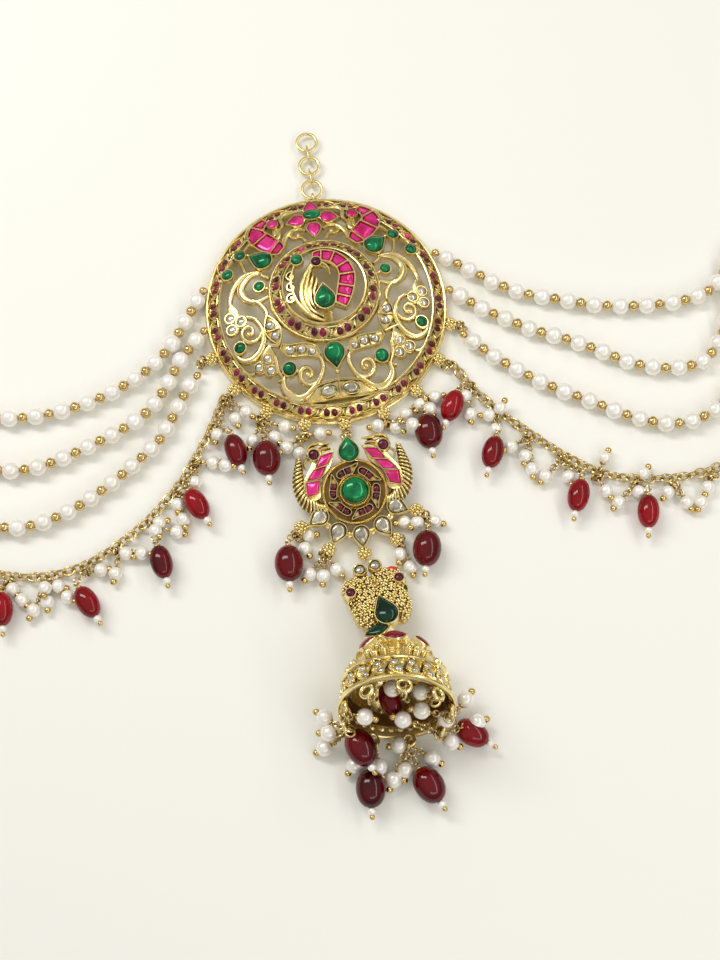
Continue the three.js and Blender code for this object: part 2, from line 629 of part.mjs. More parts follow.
// ---------- bell ----------
// It lies on the upper ridge of its band, so that ridge sets how high the mouth's middle is.
const BELL_LIP = 1.1;
const BELL_RIDGE = { radius: 12.6, height: 6.8 };
const BELL_LEAN = THREE.MathUtils.degToRad(BELL_TILT);
const MOUTH_HEIGHT = BELL_RIDGE.radius * Math.cos(BELL_LEAN) + BELL_RIDGE.height * Math.sin(BELL_LEAN);
const BELL_MOUTH = [0.5, -106.1, MOUTH_HEIGHT];
const BELL_OUTSIDE = [[BELL_R, 0], [BELL_R, BELL_LIP], [12.7, 1.7], [12.1, 5.8], [BELL_RIDGE.radius, BELL_RIDGE.height],
  [10.7, 9.7], [8.2, 12.9], [4.6, 16.2], [3.4, 17.2], [3.9, 17.9], [3.4, 18.6], [0, 18.8]];
const BELL_HOLLOW = [[0, 16.2], [3.6, 15], [7, 12.2], [9.9, 8.8], [11.3, 6.2], [12.6, 0]];
const BELL_PETALS = 7;
const PETAL_AT = { radius: 7.6, height: 14.2 };

// A broad petal with a stone in its box, standing out from the cone.
function bellPetal(turn) {
  const box = cutStone(0, 0, 2.2, -3, 1.7).scale(1.4, 1.15, 1).rotateX(-0.58).rotateZ(turn - Math.PI / 2);
  return box.translate(PETAL_AT.radius * Math.cos(turn), PETAL_AT.radius * Math.sin(turn), PETAL_AT.height - 0.6);
}

function bell() {
  const parts = [turned([[0, 0], ...BELL_OUTSIDE], 18)];
  for (let i = 0; i < BELL_PETALS; i += 1) {
    parts.push(bellPetal((TAU * i) / BELL_PETALS - Math.PI / 2));
  }
  const hollow = turned([[0, -1], [12.6, -1], [12.6, 0], ...BELL_HOLLOW.slice(0, -1).reverse()], 18);
  return fuse(parts).subtract(toSolid(hollow)).simplify(SLIVER);
}

// The bell's own axis runs from its mouth up to its crown; it lies with the crown towards +Y.
function onBell(solid) {
  return solid.rotate([-90 - BELL_TILT, 0, 0]).rotate([0, 0, BELL_YAW]).translate(BELL_MOUTH);
}

// ---------- ruby glass drops ----------
const RUBY_SMALL = { radius: 3, length: 8 };
const RUBY_LARGE = { radius: 3.5, length: 9 };
// Each lies on the surface, apart from the one that rests in the bell's mouth at a height z.
const RUBY_DROPS = [
  { name: 'ruby_fringe_left', x: -20.6, y: -38.1, lean: -2, size: RUBY_LARGE },
  { name: 'ruby_fringe_right', x: 20.2, y: -37.4, lean: 0, size: RUBY_LARGE },
  { name: 'ruby_plaque_left', x: -19, y: -65.5, lean: -6, size: RUBY_LARGE },
  { name: 'ruby_plaque_right', x: 14.7, y: -67, lean: -14, size: RUBY_LARGE },
  { name: 'ruby_left_1', x: -27.9, y: -34.7, lean: 10, size: RUBY_SMALL },
  { name: 'ruby_left_2', x: -39.2, y: -47, lean: 24, size: RUBY_SMALL },
  { name: 'ruby_left_3', x: -49.5, y: -60.2, lean: 8, size: RUBY_SMALL },
  { name: 'ruby_left_4', x: -68.3, y: -67.3, lean: 24, size: RUBY_SMALL },
  { name: 'ruby_left_5', x: -88.8, y: -65.8, lean: -2, size: RUBY_SMALL },
  { name: 'ruby_right_1', x: 27.2, y: -31.5, lean: -30, size: RUBY_SMALL },
  { name: 'ruby_right_2', x: 35, y: -45.1, lean: -24, size: RUBY_SMALL },
  { name: 'ruby_right_3', x: 53.8, y: -59.4, lean: -22, size: RUBY_SMALL },
  { name: 'ruby_right_4', x: 69.9, y: -66.1, lean: -12, size: RUBY_SMALL },
  { name: 'ruby_bell_1', x: -8.8, y: -112.6, z: 8.6, lean: 20, size: RUBY_LARGE },
  { name: 'ruby_bell_2', x: -7.9, y: -121.6, lean: -6, size: RUBY_LARGE },
  { name: 'ruby_bell_3', x: 5.6, y: -122.9, lean: 24, size: RUBY_LARGE },
  { name: 'ruby_bell_4', x: 17.6, y: -112.6, lean: 50, size: RUBY_SMALL },
];

function rubyDrop(row) {
  const { radius, length } = row.size;
  const profile = [[0, -0.5], [0.72, -0.36], [1, 0], [0.72, 0.36], [0, 0.5]];
  const bead = new THREE.LatheGeometry(points2(profile.map(([r, h]) => [r * radius, h * length])), 10);
  return bead.rotateZ(THREE.MathUtils.degToRad(row.lean)).translate(row.x, row.y, row.z ?? radius);
}

// ---------- assembly ----------
addNode('medallion', medallion(), GOLD);
dropStones();
addNode('back_pin', backPin(), GOLD);
extender();
for (const row of STRANDS) {
  addNode(row.name, strand(row), PEARL);
}
for (const row of CHAINS) {
  addNode(row.name, chainTube(row), GOLD);
}
addNode('end_bar_right', endBar(1), GOLD);
addNode('end_bar_left', endBar(-1), GOLD);
plaqueNodes();
addNode('bird_charm', onCharm(birdCharm()), GOLD);
addNode('bird_charm_stone', onCharm(toSolid(dropStone(0.3, -5, 92, 1.75, 2.9, 2.4 + GAP, 4.2))), EMERALD);
addNode('bell', onBell(bell()), GOLD);
for (const row of RUBY_DROPS) {
  addNode(row.name, rubyDrop(row), RUBY_GLASS);
}

export default brooch;
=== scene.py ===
"""A temple-style hair brooch lying face up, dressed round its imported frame.

Shapes are made in millimetres in the frame's axes and scaled to metres when a piece is built.
"""
import math
from collections import namedtuple

import bpy
import numpy as np
from mathutils import Matrix, Vector


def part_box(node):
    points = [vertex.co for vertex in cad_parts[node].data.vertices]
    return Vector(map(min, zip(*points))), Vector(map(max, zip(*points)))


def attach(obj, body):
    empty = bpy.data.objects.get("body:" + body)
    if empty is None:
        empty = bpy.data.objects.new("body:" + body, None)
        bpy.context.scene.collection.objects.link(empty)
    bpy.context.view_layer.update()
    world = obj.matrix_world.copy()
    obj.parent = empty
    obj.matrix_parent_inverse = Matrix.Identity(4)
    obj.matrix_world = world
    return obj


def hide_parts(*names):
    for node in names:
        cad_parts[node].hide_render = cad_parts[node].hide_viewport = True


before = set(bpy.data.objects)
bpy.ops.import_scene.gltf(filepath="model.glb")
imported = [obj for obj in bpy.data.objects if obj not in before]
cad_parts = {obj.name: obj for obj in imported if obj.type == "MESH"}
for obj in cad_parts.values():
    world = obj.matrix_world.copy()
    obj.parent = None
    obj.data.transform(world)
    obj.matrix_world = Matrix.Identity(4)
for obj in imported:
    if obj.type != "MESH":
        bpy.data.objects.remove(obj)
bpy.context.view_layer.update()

MM = 0.001
TAU = 2 * math.pi
RANDOM = np.random.default_rng(7)

# ---------- sizes shared with the frame, in millimetres ----------
DISC_R = 31.0
RIM_BAND = 3.8
RIM_FALL = 0.34
DOME_EDGE = 2.6
DOME_RISE = 6.4
BOSS_CENTRE = np.array([0.0, 2.2])
BOSS_OUTER_R = 14.3
BOSS_INNER_R = 10.6
BOSS_RISE = 2.6
PAIR_PITCH = 6.6
CHAIN_R = 1.3
BAR_TOP = np.array([108.6, 4.0])
BAR_FOOT = np.array([113.4, -17.6])
BAR_THICK = 1.8
GAP = 0.35

# ---------- sizes a little over the frame's, for the beads' bright edge ----------
PEARL_R = 2.2
SPACER_R = 1.4


# ---------- shapes: each is (points, faces) ----------
def band(first, first_count, second, second_count):
    """Faces between two rings of points; a ring may be a single tip."""
    if first_count == 1:
        return [(first, second + (k + 1) % second_count, second + k) for k in range(second_count)]
    if second_count == 1:
        return [(first + k, first + (k + 1) % first_count, second) for k in range(first_count)]
    faces = []
    for k in range(first_count):
        ahead = (k + 1) % first_count
        faces.append((first + k, first + ahead, second + ahead, second + k))
    return faces


def loft(rings, wrap=False):
    """A closed skin over rings of points, with flat caps unless it wraps round to its start."""
    starts = np.cumsum([0] + [len(ring) for ring in rings])
    faces = []
    for i in range(len(rings) - 1):
        faces += band(starts[i], len(rings[i]), starts[i + 1], len(rings[i + 1]))
    if wrap:
        faces += band(starts[-2], len(rings[-1]), 0, len(rings[0]))
    else:
        if len(rings[0]) > 1:
            faces.append(tuple(reversed(range(starts[0], starts[1]))))
        if len(rings[-1]) > 1:
            faces.append(tuple(range(starts[-2], starts[-1])))
    return np.vstack(rings), faces


def lathe(profile, sides, wrap=False):
    """A body of revolution about Z from (radius, height) pairs, listed upwards on the outside."""
    turns = np.arange(sides) * TAU / sides
    rings = []
    for radius, height in profile:
        if radius == 0:
            rings.append(np.array([[0.0, 0.0, height]]))
        else:
            circle = [radius * np.cos(turns), radius * np.sin(turns), np.full(sides, height)]
            rings.append(np.column_stack(circle))
    return loft(rings, wrap)


def bead_side(radius, half, rings, power=1.0):
    """The profile of a ball or a long bead, whose flanks are fuller with a power under 1."""
    lifts = np.radians(np.linspace(-90, 90, rings + 1))
    profile = [(radius * max(math.cos(lift), 0) ** power, half * math.sin(lift)) for lift in lifts]
    profile[0], profile[-1] = (0, -half), (0, half)
    return profile


def ball(radius, sides=14, rings=8):
    return lathe(bead_side(radius, radius, rings), sides)


def torus(radius, wire, around=20, section=8):
    turns = np.arange(section) * TAU / section - TAU / 4
    profile = [(radius + wire * math.cos(t), wire * math.sin(t)) for t in turns]
    return lathe(profile, around, wrap=True)


def moved(shape, at=(0, 0, 0), turn=None, size=1.0):
    """A copy of a shape scaled, turned by a 3 by 3 matrix and moved."""
    points = shape[0] * size
    if turn is not None:
        points = points @ np.asarray(turn).T
    return points + np.asarray(at, float), shape[1]


def about(axis, degrees):
    return np.array(Matrix.Rotation(math.radians(degrees), 3, axis))


def facing(direction):
    """Turns +Z to the given direction."""
    return np.array(Vector(direction).to_track_quat("Z", "Y").to_matrix())


def polar(radius, degrees):
    return radius * math.cos(math.radians(degrees)), radius * math.sin(math.radians(degrees))


# Sections run up the left side, over the top and down the right, as (across, up) factors.
ROUND_TOP = np.array([(-1, 0), (-1, 0.45), (-0.8, 0.8), (-0.35, 1), (0.35, 1), (0.8, 0.8), (1, 0.45),
                      (1, 0)])
RIDGED = np.array([(-1, 0), (-1, 0.5), (-0.55, 0.62), (-0.25, 1), (0.25, 1), (0.55, 0.62), (1, 0.5),
                   (1, 0)])


def circle_section(sides=8):
    turns = TAU / 4 - np.arange(sides) * TAU / sides
    return np.column_stack([np.cos(turns), 0.5 + 0.5 * np.sin(turns)])


def directions(steps):
    """Each step flattened and brought to length 1."""
    return steps[:, :2] / np.maximum(np.linalg.norm(steps[:, :2], axis=1), 1e-9)[:, None]


def sweep(path, widths, low, high, section=ROUND_TOP, closed=False):
    """A section carried along a path; the path may climb, and the section stays upright."""
    path = np.asarray(path, float)
    if path.shape[1] == 2:
        path = raised(path, 0)
    if closed:
        ahead = directions(np.roll(path, -1, 0) - np.roll(path, 1, 0))
        edge = directions(path - np.roll(path, 1, 0))
    else:
        ahead = edge = directions(np.gradient(path, axis=0))
    mitre = 1 / np.clip((ahead * edge).sum(1), 0.55, 1)
    share = np.linspace(0, 1, len(path))
    half = 0.5 * np.interp(share, np.linspace(0, 1, len(widths)), widths) * mitre
    tall = np.ones(len(path)) if closed else np.interp(half / max(half.max(), 1e-9), [0, 0.5], [0.45, 1])
    rings = []
    for i, point in enumerate(path):
        across = np.outer(section[:, 0] * half[i], [ahead[i, 1], -ahead[i, 0], 0])
        rise = low + (high - low) * section[:, 1] * tall[i]
        rings.append(point + across + np.outer(rise, [0, 0, 1]))
    return loft(rings, closed)


def edging(outline, width, low, high):
    """A rounded wall that follows an outline."""
    return sweep(outline, [width], low, high, closed=True)


def bar(start, stop, width, low, high):
    """A short rounded wall from one place straight to another."""
    return sweep([start, np.mean([start, stop], axis=0), stop], [width], low, high)


def spline(points, count):
    """An even curve through a few points."""
    points = np.asarray(points, float)
    ends = np.vstack([points[0], points, points[-1]])
    spans = len(points) - 1
    samples = []
    for t in np.linspace(0, spans, count):
        i = min(int(t), spans - 1)
        u = t - i
        a, b, c, d = ends[i : i + 4]
        square = 2 * a - 5 * b + 4 * c - d
        cube = 3 * b - a - 3 * c + d
        samples.append(0.5 * (2 * b + (c - a) * u + square * u * u + cube * u**3))
    return np.array(samples)


def closed_spline(points, count):
    return spline(np.vstack([points, points[:1]]), count)[:-1]


def spiral(x, y, start_r, end_r, start, turns, count=22):
    """A curl that winds in round (x, y); start is in degrees."""
    t = np.linspace(0, 1, count)
    radius = start_r + (end_r - start_r) * t**0.8
    angle = math.radians(start) + TAU * turns * t
    return np.column_stack([x + radius * np.cos(angle), y + radius * np.sin(angle)])


# ---------- outlines, each anticlockwise ----------
def laid(x, y, angle, along, across):
    """An outline's points turned by an angle in degrees and moved to (x, y)."""
    ahead, side = math.cos(math.radians(angle)), math.sin(math.radians(angle))
    return np.column_stack([x + along * ahead - across * side, y + along * side + across * ahead])


def oval(x, y, radius, other=None, angle=0, count=20):
    t = np.arange(count) * TAU / count
    other = radius if other is None else other
    return laid(x, y, angle, radius * np.cos(t), other * np.sin(t))


def drop(x, y, angle, radius, reach, count=22):
    """A round end and a tip, which points along angle."""
    a = math.radians(angle)
    opening = math.acos(radius / reach)
    t = np.linspace(a + opening, a + TAU - opening, count)
    bow = np.column_stack([x + radius * np.cos(t), y + radius * np.sin(t)])
    tip = np.array([x + reach * math.cos(a), y + reach * math.sin(a)])
    flanks = [bow[-1] * (1 - k) + tip * k for k in (0.33, 0.66, 1)]
    flanks += [tip * (1 - k) + bow[0] * k for k in (0.33, 0.66)]
    return np.vstack([bow, flanks])


def leaf(x, y, angle, length, width, count=9, lean=0.0):
    """A lens with a tip at each end; lean slides its widest place along it."""
    t = np.linspace(-1, 1, count)
    bow = 0.5 * width * (1 - np.abs(t) ** 1.8) * (1 + lean * t)
    along = np.concatenate([0.5 * length * t, 0.5 * length * t[-2:0:-1]])
    return laid(x, y, angle, along, np.concatenate([-bow, bow[-2:0:-1]]))


def grown(outline, distance):
    """The outline moved outwards, or inwards where distance is negative."""
    ahead = directions(np.roll(outline, -1, 0) - np.roll(outline, 1, 0))
    return outline + distance * np.column_stack([ahead[:, 1], -ahead[:, 0]])


def shrunk(outline, factor):
    centre = outline.mean(0)
    return centre + (outline - centre) * factor


def raised(outline, height):
    return np.column_stack([outline, np.full(len(outline), height)])


def plate(outline, low, high, bevel=0.15):
    """A flat piece whose upper edge is softened."""
    top = raised(grown(outline, -bevel), high)
    return loft([raised(outline, low), raised(outline, high - bevel), top])


def cabochon(outline, low, girdle, top, rings=5):
    """A stone whose crown curves up to its middle."""
    rows = [raised(outline, low), raised(outline, girdle)]
    for k in range(1, rings):
        a = TAU / 4 * k / rings
        rows.append(raised(shrunk(outline, math.cos(a)), girdle + (top - girdle) * math.sin(a)))
    rows.append(np.append(outline.mean(0), top)[None])
    return loft(rows)


def flat_stone(outline, low, girdle, top, table=0.72):
    """A foil-backed stone with a wide flat table."""
    return loft([raised(outline, low), raised(outline, girdle), raised(shrunk(outline, table), top)])


def brilliant(outline, low, top, facets=8):
    """A cut stone: two rows of three-sided facets between its girdle and its table."""
    height = top - low
    step = len(outline) / (2 * facets)
    marks = np.array([outline[round(k * step) % len(outline)] for k in range(2 * facets)])
    girdle = marks[0::2]
    middle = shrunk(marks, 0.84)[1::2]
    table = shrunk(marks, 0.56)[0::2]
    rows = [raised(girdle, low), raised(girdle, low + 0.3 * height)]
    rows += [raised(middle, low + 0.75 * height), raised(table, top)]
    faces = [tuple(reversed(range(facets)))] + band(0, facets, facets, facets)
    for k in range(facets):
        ahead = (k + 1) % facets
        g, g_next = facets + k, facets + ahead
        m, m_next = 2 * facets + k, 2 * facets + ahead
        t, t_next = 3 * facets + k, 3 * facets + ahead
        faces += [(g, g_next, m), (m, g_next, m_next), (m, t_next, t), (m, m_next, t_next)]
    faces.append(tuple(range(3 * facets, 4 * facets)))
    return np.vstack(rows), faces


# ---------- the frame's curves ----------
def skin_height(x, y):
    """Height of the medallion's skin: a shallow dome with a raised boss."""
    edge = np.hypot(x, y) / DISC_R
    out = np.hypot(x - BOSS_CENTRE[0], y - BOSS_CENTRE[1])
    step = np.clip((BOSS_OUTER_R - out) / (BOSS_OUTER_R - BOSS_INNER_R), 0, 1)
    return DOME_EDGE + DOME_RISE * (1 - edge**2) + BOSS_RISE * step


def on_dome(points):
    """Points lifted by the height of the medallion's skin."""
    return points + np.outer(skin_height(points[:, 0], points[:, 1]), (0, 0, 1))


def on_rim(points):
    """Like on_dome, on the rim's steeper slope."""
    out = np.hypot(points[:, 0], points[:, 1])
    return on_dome(points) - np.outer(RIM_FALL * np.maximum(out - DISC_R + RIM_BAND, 0), (0, 0, 1))


def route_curve(points):
    """A centripetal curve through the route's points, and the length along it of each sample."""
    points = [np.asarray(p, float) for p in points]
    ends = [2 * points[0] - points[1], *points, 2 * points[-1] - points[-2]]
    samples = []
    for i in range(1, len(ends) - 2):
        a, b, c, d = ends[i - 1 : i + 3]
        da, db, dc = (math.sqrt(np.linalg.norm(q - p)) for p, q in ((a, b), (b, c), (c, d)))
        start = ((b - a) / da - (c - a) / (da + db) + (c - b) / db) * db
        stop = ((c - b) / db - (d - b) / (db + dc) + (d - c) / dc) * db
        for u in np.linspace(0, 1, 60, endpoint=False):
            cubic = (2 * b - 2 * c + start + stop) * u**3 + (3 * c - 3 * b - 2 * start - stop) * u**2
            samples.append(cubic + start * u + b)
    samples.append(points[-1])
    samples = np.array(samples)
    lengths = np.concatenate([[0], np.cumsum(np.linalg.norm(np.diff(samples, axis=0), axis=1))])
    return samples, lengths


def point_at(curve, length):
    samples, lengths = curve
    return np.array([np.interp(length, lengths, samples[:, k]) for k in range(2)])


def ahead_at(curve, length):
    step = point_at(curve, length + 0.4) - point_at(curve, length - 0.4)
    return step / np.linalg.norm(step)


# ---------- pieces: what adds a shape is called put, and adds it in gold unless told otherwise ----------
def changed(put, change):
    """Adds shapes whose points have gone through a function."""
    return lambda shape, kind="gold", smooth=True: put((change(shape[0]), shape[1]), kind, smooth)


def placing(put, at, turn):
    """Adds shapes turned and moved to a place of their own."""
    return lambda shape, kind="gold", smooth=True: put(moved(shape, at, turn), kind, smooth)


def mirrored(put):
    """Adds shapes, each with its mirror image across the YZ plane."""
    def put_both(shape, kind="gold", smooth=True):
        points, faces = shape
        put(shape, kind, smooth)
        put((points * (-1, 1, 1), [tuple(reversed(face)) for face in faces]), kind, smooth)

    return put_both


class Pile:
    """Gathers many small shapes into one mesh with a few materials."""

    def __init__(self):
        self.points, self.faces, self.slots, self.smooth = [], [], [], []
        self.count = 0

    def add(self, shape, kind="gold", smooth=True):
        points, faces = shape
        self.points.append(points)
        self.faces += [tuple(int(v) + self.count for v in face) for face in faces]
        self.slots += [kind] * len(faces)
        self.smooth += [smooth] * len(faces)
        self.count += len(points)

    def build(self, name, replaces=()):
        mesh = bpy.data.meshes.new(name)
        mesh.from_pydata((np.vstack(self.points) * MM).tolist(), [], self.faces)
        kinds = list(dict.fromkeys(self.slots))
        for kind in kinds:
            mesh.materials.append(MATERIALS[kind])
        mesh.polygons.foreach_set("material_index", [kinds.index(kind) for kind in self.slots])
        mesh.polygons.foreach_set("use_smooth", self.smooth)
        mesh.set_sharp_from_angle(angle=math.radians(50))
        mesh.update()
        piece = bpy.data.objects.new(name, mesh)
        bpy.context.scene.collection.objects.link(piece)
        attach(piece, "root")
        if replaces:
            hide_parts(*replaces)


# ---------- materials ----------
class Shader:
    """A material's node tree, with short ways to add and join nodes."""

    def __init__(self, name):
        self.material = bpy.data.materials.new(name)
        self.material.use_nodes = True
        self.tree = self.material.node_tree
        self.surface = self.tree.nodes["Principled BSDF"]
        self.place = self.node("ShaderNodeTexCoord").outputs["Object"]

    def node(self, kind, **settings):
        node = self.tree.nodes.new(kind)
        for key, value in settings.items():
            setattr(node, key, value)
        return node

    def feed(self, socket, source):
        if isinstance(source, bpy.types.NodeSocket):
            self.tree.links.new(source, socket)
        else:
            socket.default_value = source

    def colour(self, source):
        self.feed(self.surface.inputs["Base Color"], source)

    def fixed(self, **values):
        for key, value in values.items():
            self.surface.inputs[key.replace("_", " ")].default_value = value

    def noise(self, scale, detail=3.0):
        """Noise with about `scale` bumps for each millimetre."""
        node = self.node("ShaderNodeTexNoise")
        self.feed(node.inputs["Vector"], self.place)
        node.inputs["Scale"].default_value = scale / MM
        node.inputs["Detail"].default_value = detail
        node.inputs["Roughness"].default_value = 0.55
        return node.outputs["Fac"]

    def ramp(self, source, *stops):
        node = self.node("ShaderNodeValToRGB")
        self.feed(node.inputs["Fac"], source)
        for element, (position, value) in zip(node.color_ramp.elements, stops):
            element.position = position
            element.color = (value, value, value, 1) if isinstance(value, float) else (*value, 1)
        return node.outputs["Color"]

    def blend(self, share, first, second):
        node = self.node("ShaderNodeMix", data_type="RGBA")
        self.feed(node.inputs["Factor"], share)
        for name, source in (("A", first), ("B", second)):
            self.feed(node.inputs[name], (*source, 1) if isinstance(source, tuple) else source)
        return node.outputs["Result"]

    def bump(self, height, depth, strength):
        node = self.node("ShaderNodeBump")
        self.feed(node.inputs["Height"], height)
        node.inputs["Distance"].default_value = depth * MM
        node.inputs["Strength"].default_value = strength
        self.feed(self.surface.inputs["Normal"], node.outputs["Normal"])

    def openness(self, reach):
        """How open a point is to its surroundings, 0 deep in a recess and 1 out in the open."""
        node = self.node("ShaderNodeAmbientOcclusion", samples=6)
        node.inputs["Distance"].default_value = reach * MM
        return node.outputs["AO"]


def gilt(name, bright, mid, patina, rough, reach=1.0, dents=0.03):
    """Gold of two mottled tones, darkened and dulled within `reach` millimetres of a recess: partly the
    antique gold's patina, partly painted shade.
    """
    shader = Shader(name)
    mottle = shader.noise(0.5, 4.0)
    metal = shader.blend(shader.ramp(mottle, (0.35, 0.0), (0.65, 1.0)), bright, mid)
    # Patina and painted shade: the recess colour is laid in where the ambient occlusion finds a recess.
    open_share = shader.ramp(shader.openness(reach), (0.08, 0.0), (0.52, 1.0))
    shader.colour(shader.blend(open_share, patina, metal))
    worn = shader.ramp(open_share, (0.0, rough + 0.25), (1.0, rough))
    shader.feed(shader.surface.inputs["Roughness"], worn)
    shader.fixed(Metallic=1.0)
    shader.bump(shader.noise(3.0, 2.0), dents, 0.5)
    return shader.material


def pearl_material():
    shader = Shader("pearl")
    cream, white = (0.96, 0.92, 0.83), (0.99, 0.97, 0.92)
    shader.colour(shader.ramp(shader.noise(0.12, 1.0), (0.35, cream), (0.65, white)))
    shader.fixed(Metallic=0.22, Roughness=0.3, Coat_Weight=1.0, Coat_Roughness=0.06)
    shader.bump(shader.noise(0.8, 1.0), 0.015, 0.2)
    return shader.material


def glass_bead(name, deep, lively, transmission):
    shader = Shader(name)
    shader.colour(shader.ramp(shader.noise(0.1, 1.0), (0.3, deep), (0.7, lively)))
    shader.fixed(Roughness=0.05, IOR=1.42, Transmission_Weight=transmission)
    return shader.material


def foiled_stone(name, dark, light, scale, metallic, rough=0.12):
    """A stone over bright foil: clear colour with broken light inside."""
    shader = Shader(name)
    cells = shader.node("ShaderNodeTexVoronoi")
    shader.feed(cells.inputs["Vector"], shader.place)
    cells.inputs["Scale"].default_value = scale / MM
    shards = shader.ramp(cells.outputs["Distance"], (0.05, 1.0), (0.75, 0.0))
    cloud = shader.ramp(shader.noise(0.35, 2.0), (0.38, 0.0), (0.66, 1.0))
    shader.colour(shader.blend(shader.blend(0.5, shards, cloud), dark, light))
    shader.fixed(Roughness=rough, Metallic=metallic, Specular_IOR_Level=0.15)
    shader.fixed(Coat_Weight=0.5, Coat_Roughness=0.03)
    return shader.material


MATERIALS = {
    # The golds' columns: light and deep tone, recess colour of patina and painted shade, roughness, reach
    # of the recess in mm, dents in mm.
    "gold": gilt("antique_gold", (1.0, 0.85, 0.46), (0.85, 0.67, 0.25), (0.14, 0.075, 0.005), 0.22, 0.9),
    "bright": gilt("bright_gold", (0.8, 0.6, 0.26), (0.66, 0.46, 0.17), (0.2, 0.1, 0.03), 0.14, 1.0, 0.008),
    "chain": gilt("dark_gold", (0.80, 0.63, 0.31), (0.56, 0.41, 0.16), (0.08, 0.042, 0.006), 0.26),
    # A darker gold laid in grooves and under openwork: patina and painted shade where it shows in the gaps.
    "patina": gilt("recess_patina", (0.30, 0.19, 0.08), (0.17, 0.10, 0.04), (0.05, 0.028, 0.01), 0.4),
    "pearl": pearl_material(),
    "ruby": glass_bead("ruby_glass", (0.14, 0.0005, 0.003), (0.45, 0.001, 0.010), 0.2),
    "dark_ruby": glass_bead("dark_ruby_glass", (0.055, 0.0005, 0.002), (0.20, 0.001, 0.006), 0.15),
    # The stones' columns: dark and light tone, shards of light for each mm, metallic.
    "garnet": foiled_stone("garnet_chips", (0.035, 0.003, 0.008), (0.22, 0.015, 0.045), 0.9, 0.1),
    "rose": foiled_stone("rose_garnets", (0.13, 0.008, 0.03), (0.42, 0.03, 0.11), 0.9, 0.2),
    "pink": foiled_stone("pink_foil_stones", (0.54, 0.006, 0.12), (1.0, 0.06, 0.39), 0.45, 0.3),
    "emerald": foiled_stone("emerald_glass", (0.0, 0.03, 0.011), (0.0, 0.36, 0.11), 0.22, 0.2),
    "clear": foiled_stone("clear_stones", (0.42, 0.38, 0.30), (0.95, 0.93, 0.88), 0.9, 0.75),
    "deep_emerald": foiled_stone("deep_emerald", (0.0, 0.01, 0.005), (0.0, 0.07, 0.028), 0.3, 0.15),
    "red": foiled_stone("red_marquise", (0.13, 0.002, 0.01), (0.46, 0.018, 0.05), 0.5, 0.2),
    "kundan": foiled_stone("kundan_stones", (0.28, 0.26, 0.18), (0.88, 0.84, 0.70), 0.9, 0.7),
    "coral": foiled_stone("coral_enamel", (0.55, 0.03, 0.02), (0.8, 0.08, 0.04), 0.4, 0.0, 0.3),
}


# ---------- camera, light and floor ----------
def look(location, target, up):
    back = (Vector(location) - Vector(target)).normalized()
    side = Vector(up).cross(back).normalized()
    turn = Matrix((side, back.cross(side), back)).transposed()
    return Matrix.Translation(Vector(location) * MM) @ turn.to_4x4()


def make_camera():
    """The photo's camera, fitted to the medallion's rim and the bell's mouth."""
    camera = bpy.data.cameras.new("camera")
    camera.lens = 57.1
    camera.sensor_width = 36
    camera.clip_start = 0.01
    camera.clip_end = 20
    holder = bpy.data.objects.new("camera", camera)
    bpy.context.scene.collection.objects.link(holder)
    holder.matrix_world = look((-16.1, -157.4, 361.5), (1.47, -46.25, 0), (0.156, 0.988, 0))
    bpy.context.scene.camera = holder


def make_light(name, location, size, energy, tint):
    light = bpy.data.lights.new(name, "AREA")
    light.shape = "RECTANGLE"
    light.size, light.size_y = (side * MM for side in size)
    light.energy = energy
    light.color = tint
    holder = bpy.data.objects.new(name, light)
    bpy.context.scene.collection.objects.link(holder)
    holder.matrix_world = look(location, (0, -30, 0), (0, 1, 0.01))


def make_world():
    """A bright room: white above, and darker low down so that metal has something to show."""
    world = bpy.data.worlds.new("room")
    bpy.context.scene.world = world
    world.use_nodes = True
    tree = world.node_tree
    background = tree.nodes["Background"]
    place = tree.nodes.new("ShaderNodeTexCoord")
    split = tree.nodes.new("ShaderNodeSeparateXYZ")
    ramp = tree.nodes.new("ShaderNodeValToRGB")
    tree.links.new(place.outputs["Generated"], split.inputs[0])
    tree.links.new(split.outputs["Z"], ramp.inputs["Fac"])
    tree.links.new(ramp.outputs["Color"], background.inputs["Color"])
    low, high = ramp.color_ramp.elements
    low.position, low.color = 0.05, (0.34, 0.31, 0.27, 1)
    high.position, high.color = 0.75, (1.0, 0.98, 0.94, 1)
    background.inputs["Strength"].default_value = 0.585


def make_floor():
    shader = Shader("cream_floor")
    shader.colour((0.93, 0.933, 0.882, 1))
    shader.fixed(Roughness=0.75, Specular_IOR_Level=0.2)
    bpy.ops.mesh.primitive_plane_add(size=24, location=(0, 0, -0.00005))
    floor = bpy.context.object
    floor.name = "floor"
    floor.data.materials.append(shader.material)


def make_stage():
    bpy.context.scene.view_settings.view_transform = "Standard"
    make_camera()
    make_floor()
    make_world()
    make_light("window", (-220, 200, 420), (380, 110), 1.2, (1, 0.985, 0.95))
    make_light("fill", (290, -80, 330), (60, 800), 0.6, (1, 0.98, 0.94))
    make_light("front", (30, -430, 300), (300, 80), 0.2, (1, 0.98, 0.94))


# ---------- medallion ----------
Ribbon = namedtuple("Ribbon", "through widths")     # a strip's middle line, and its widths along it

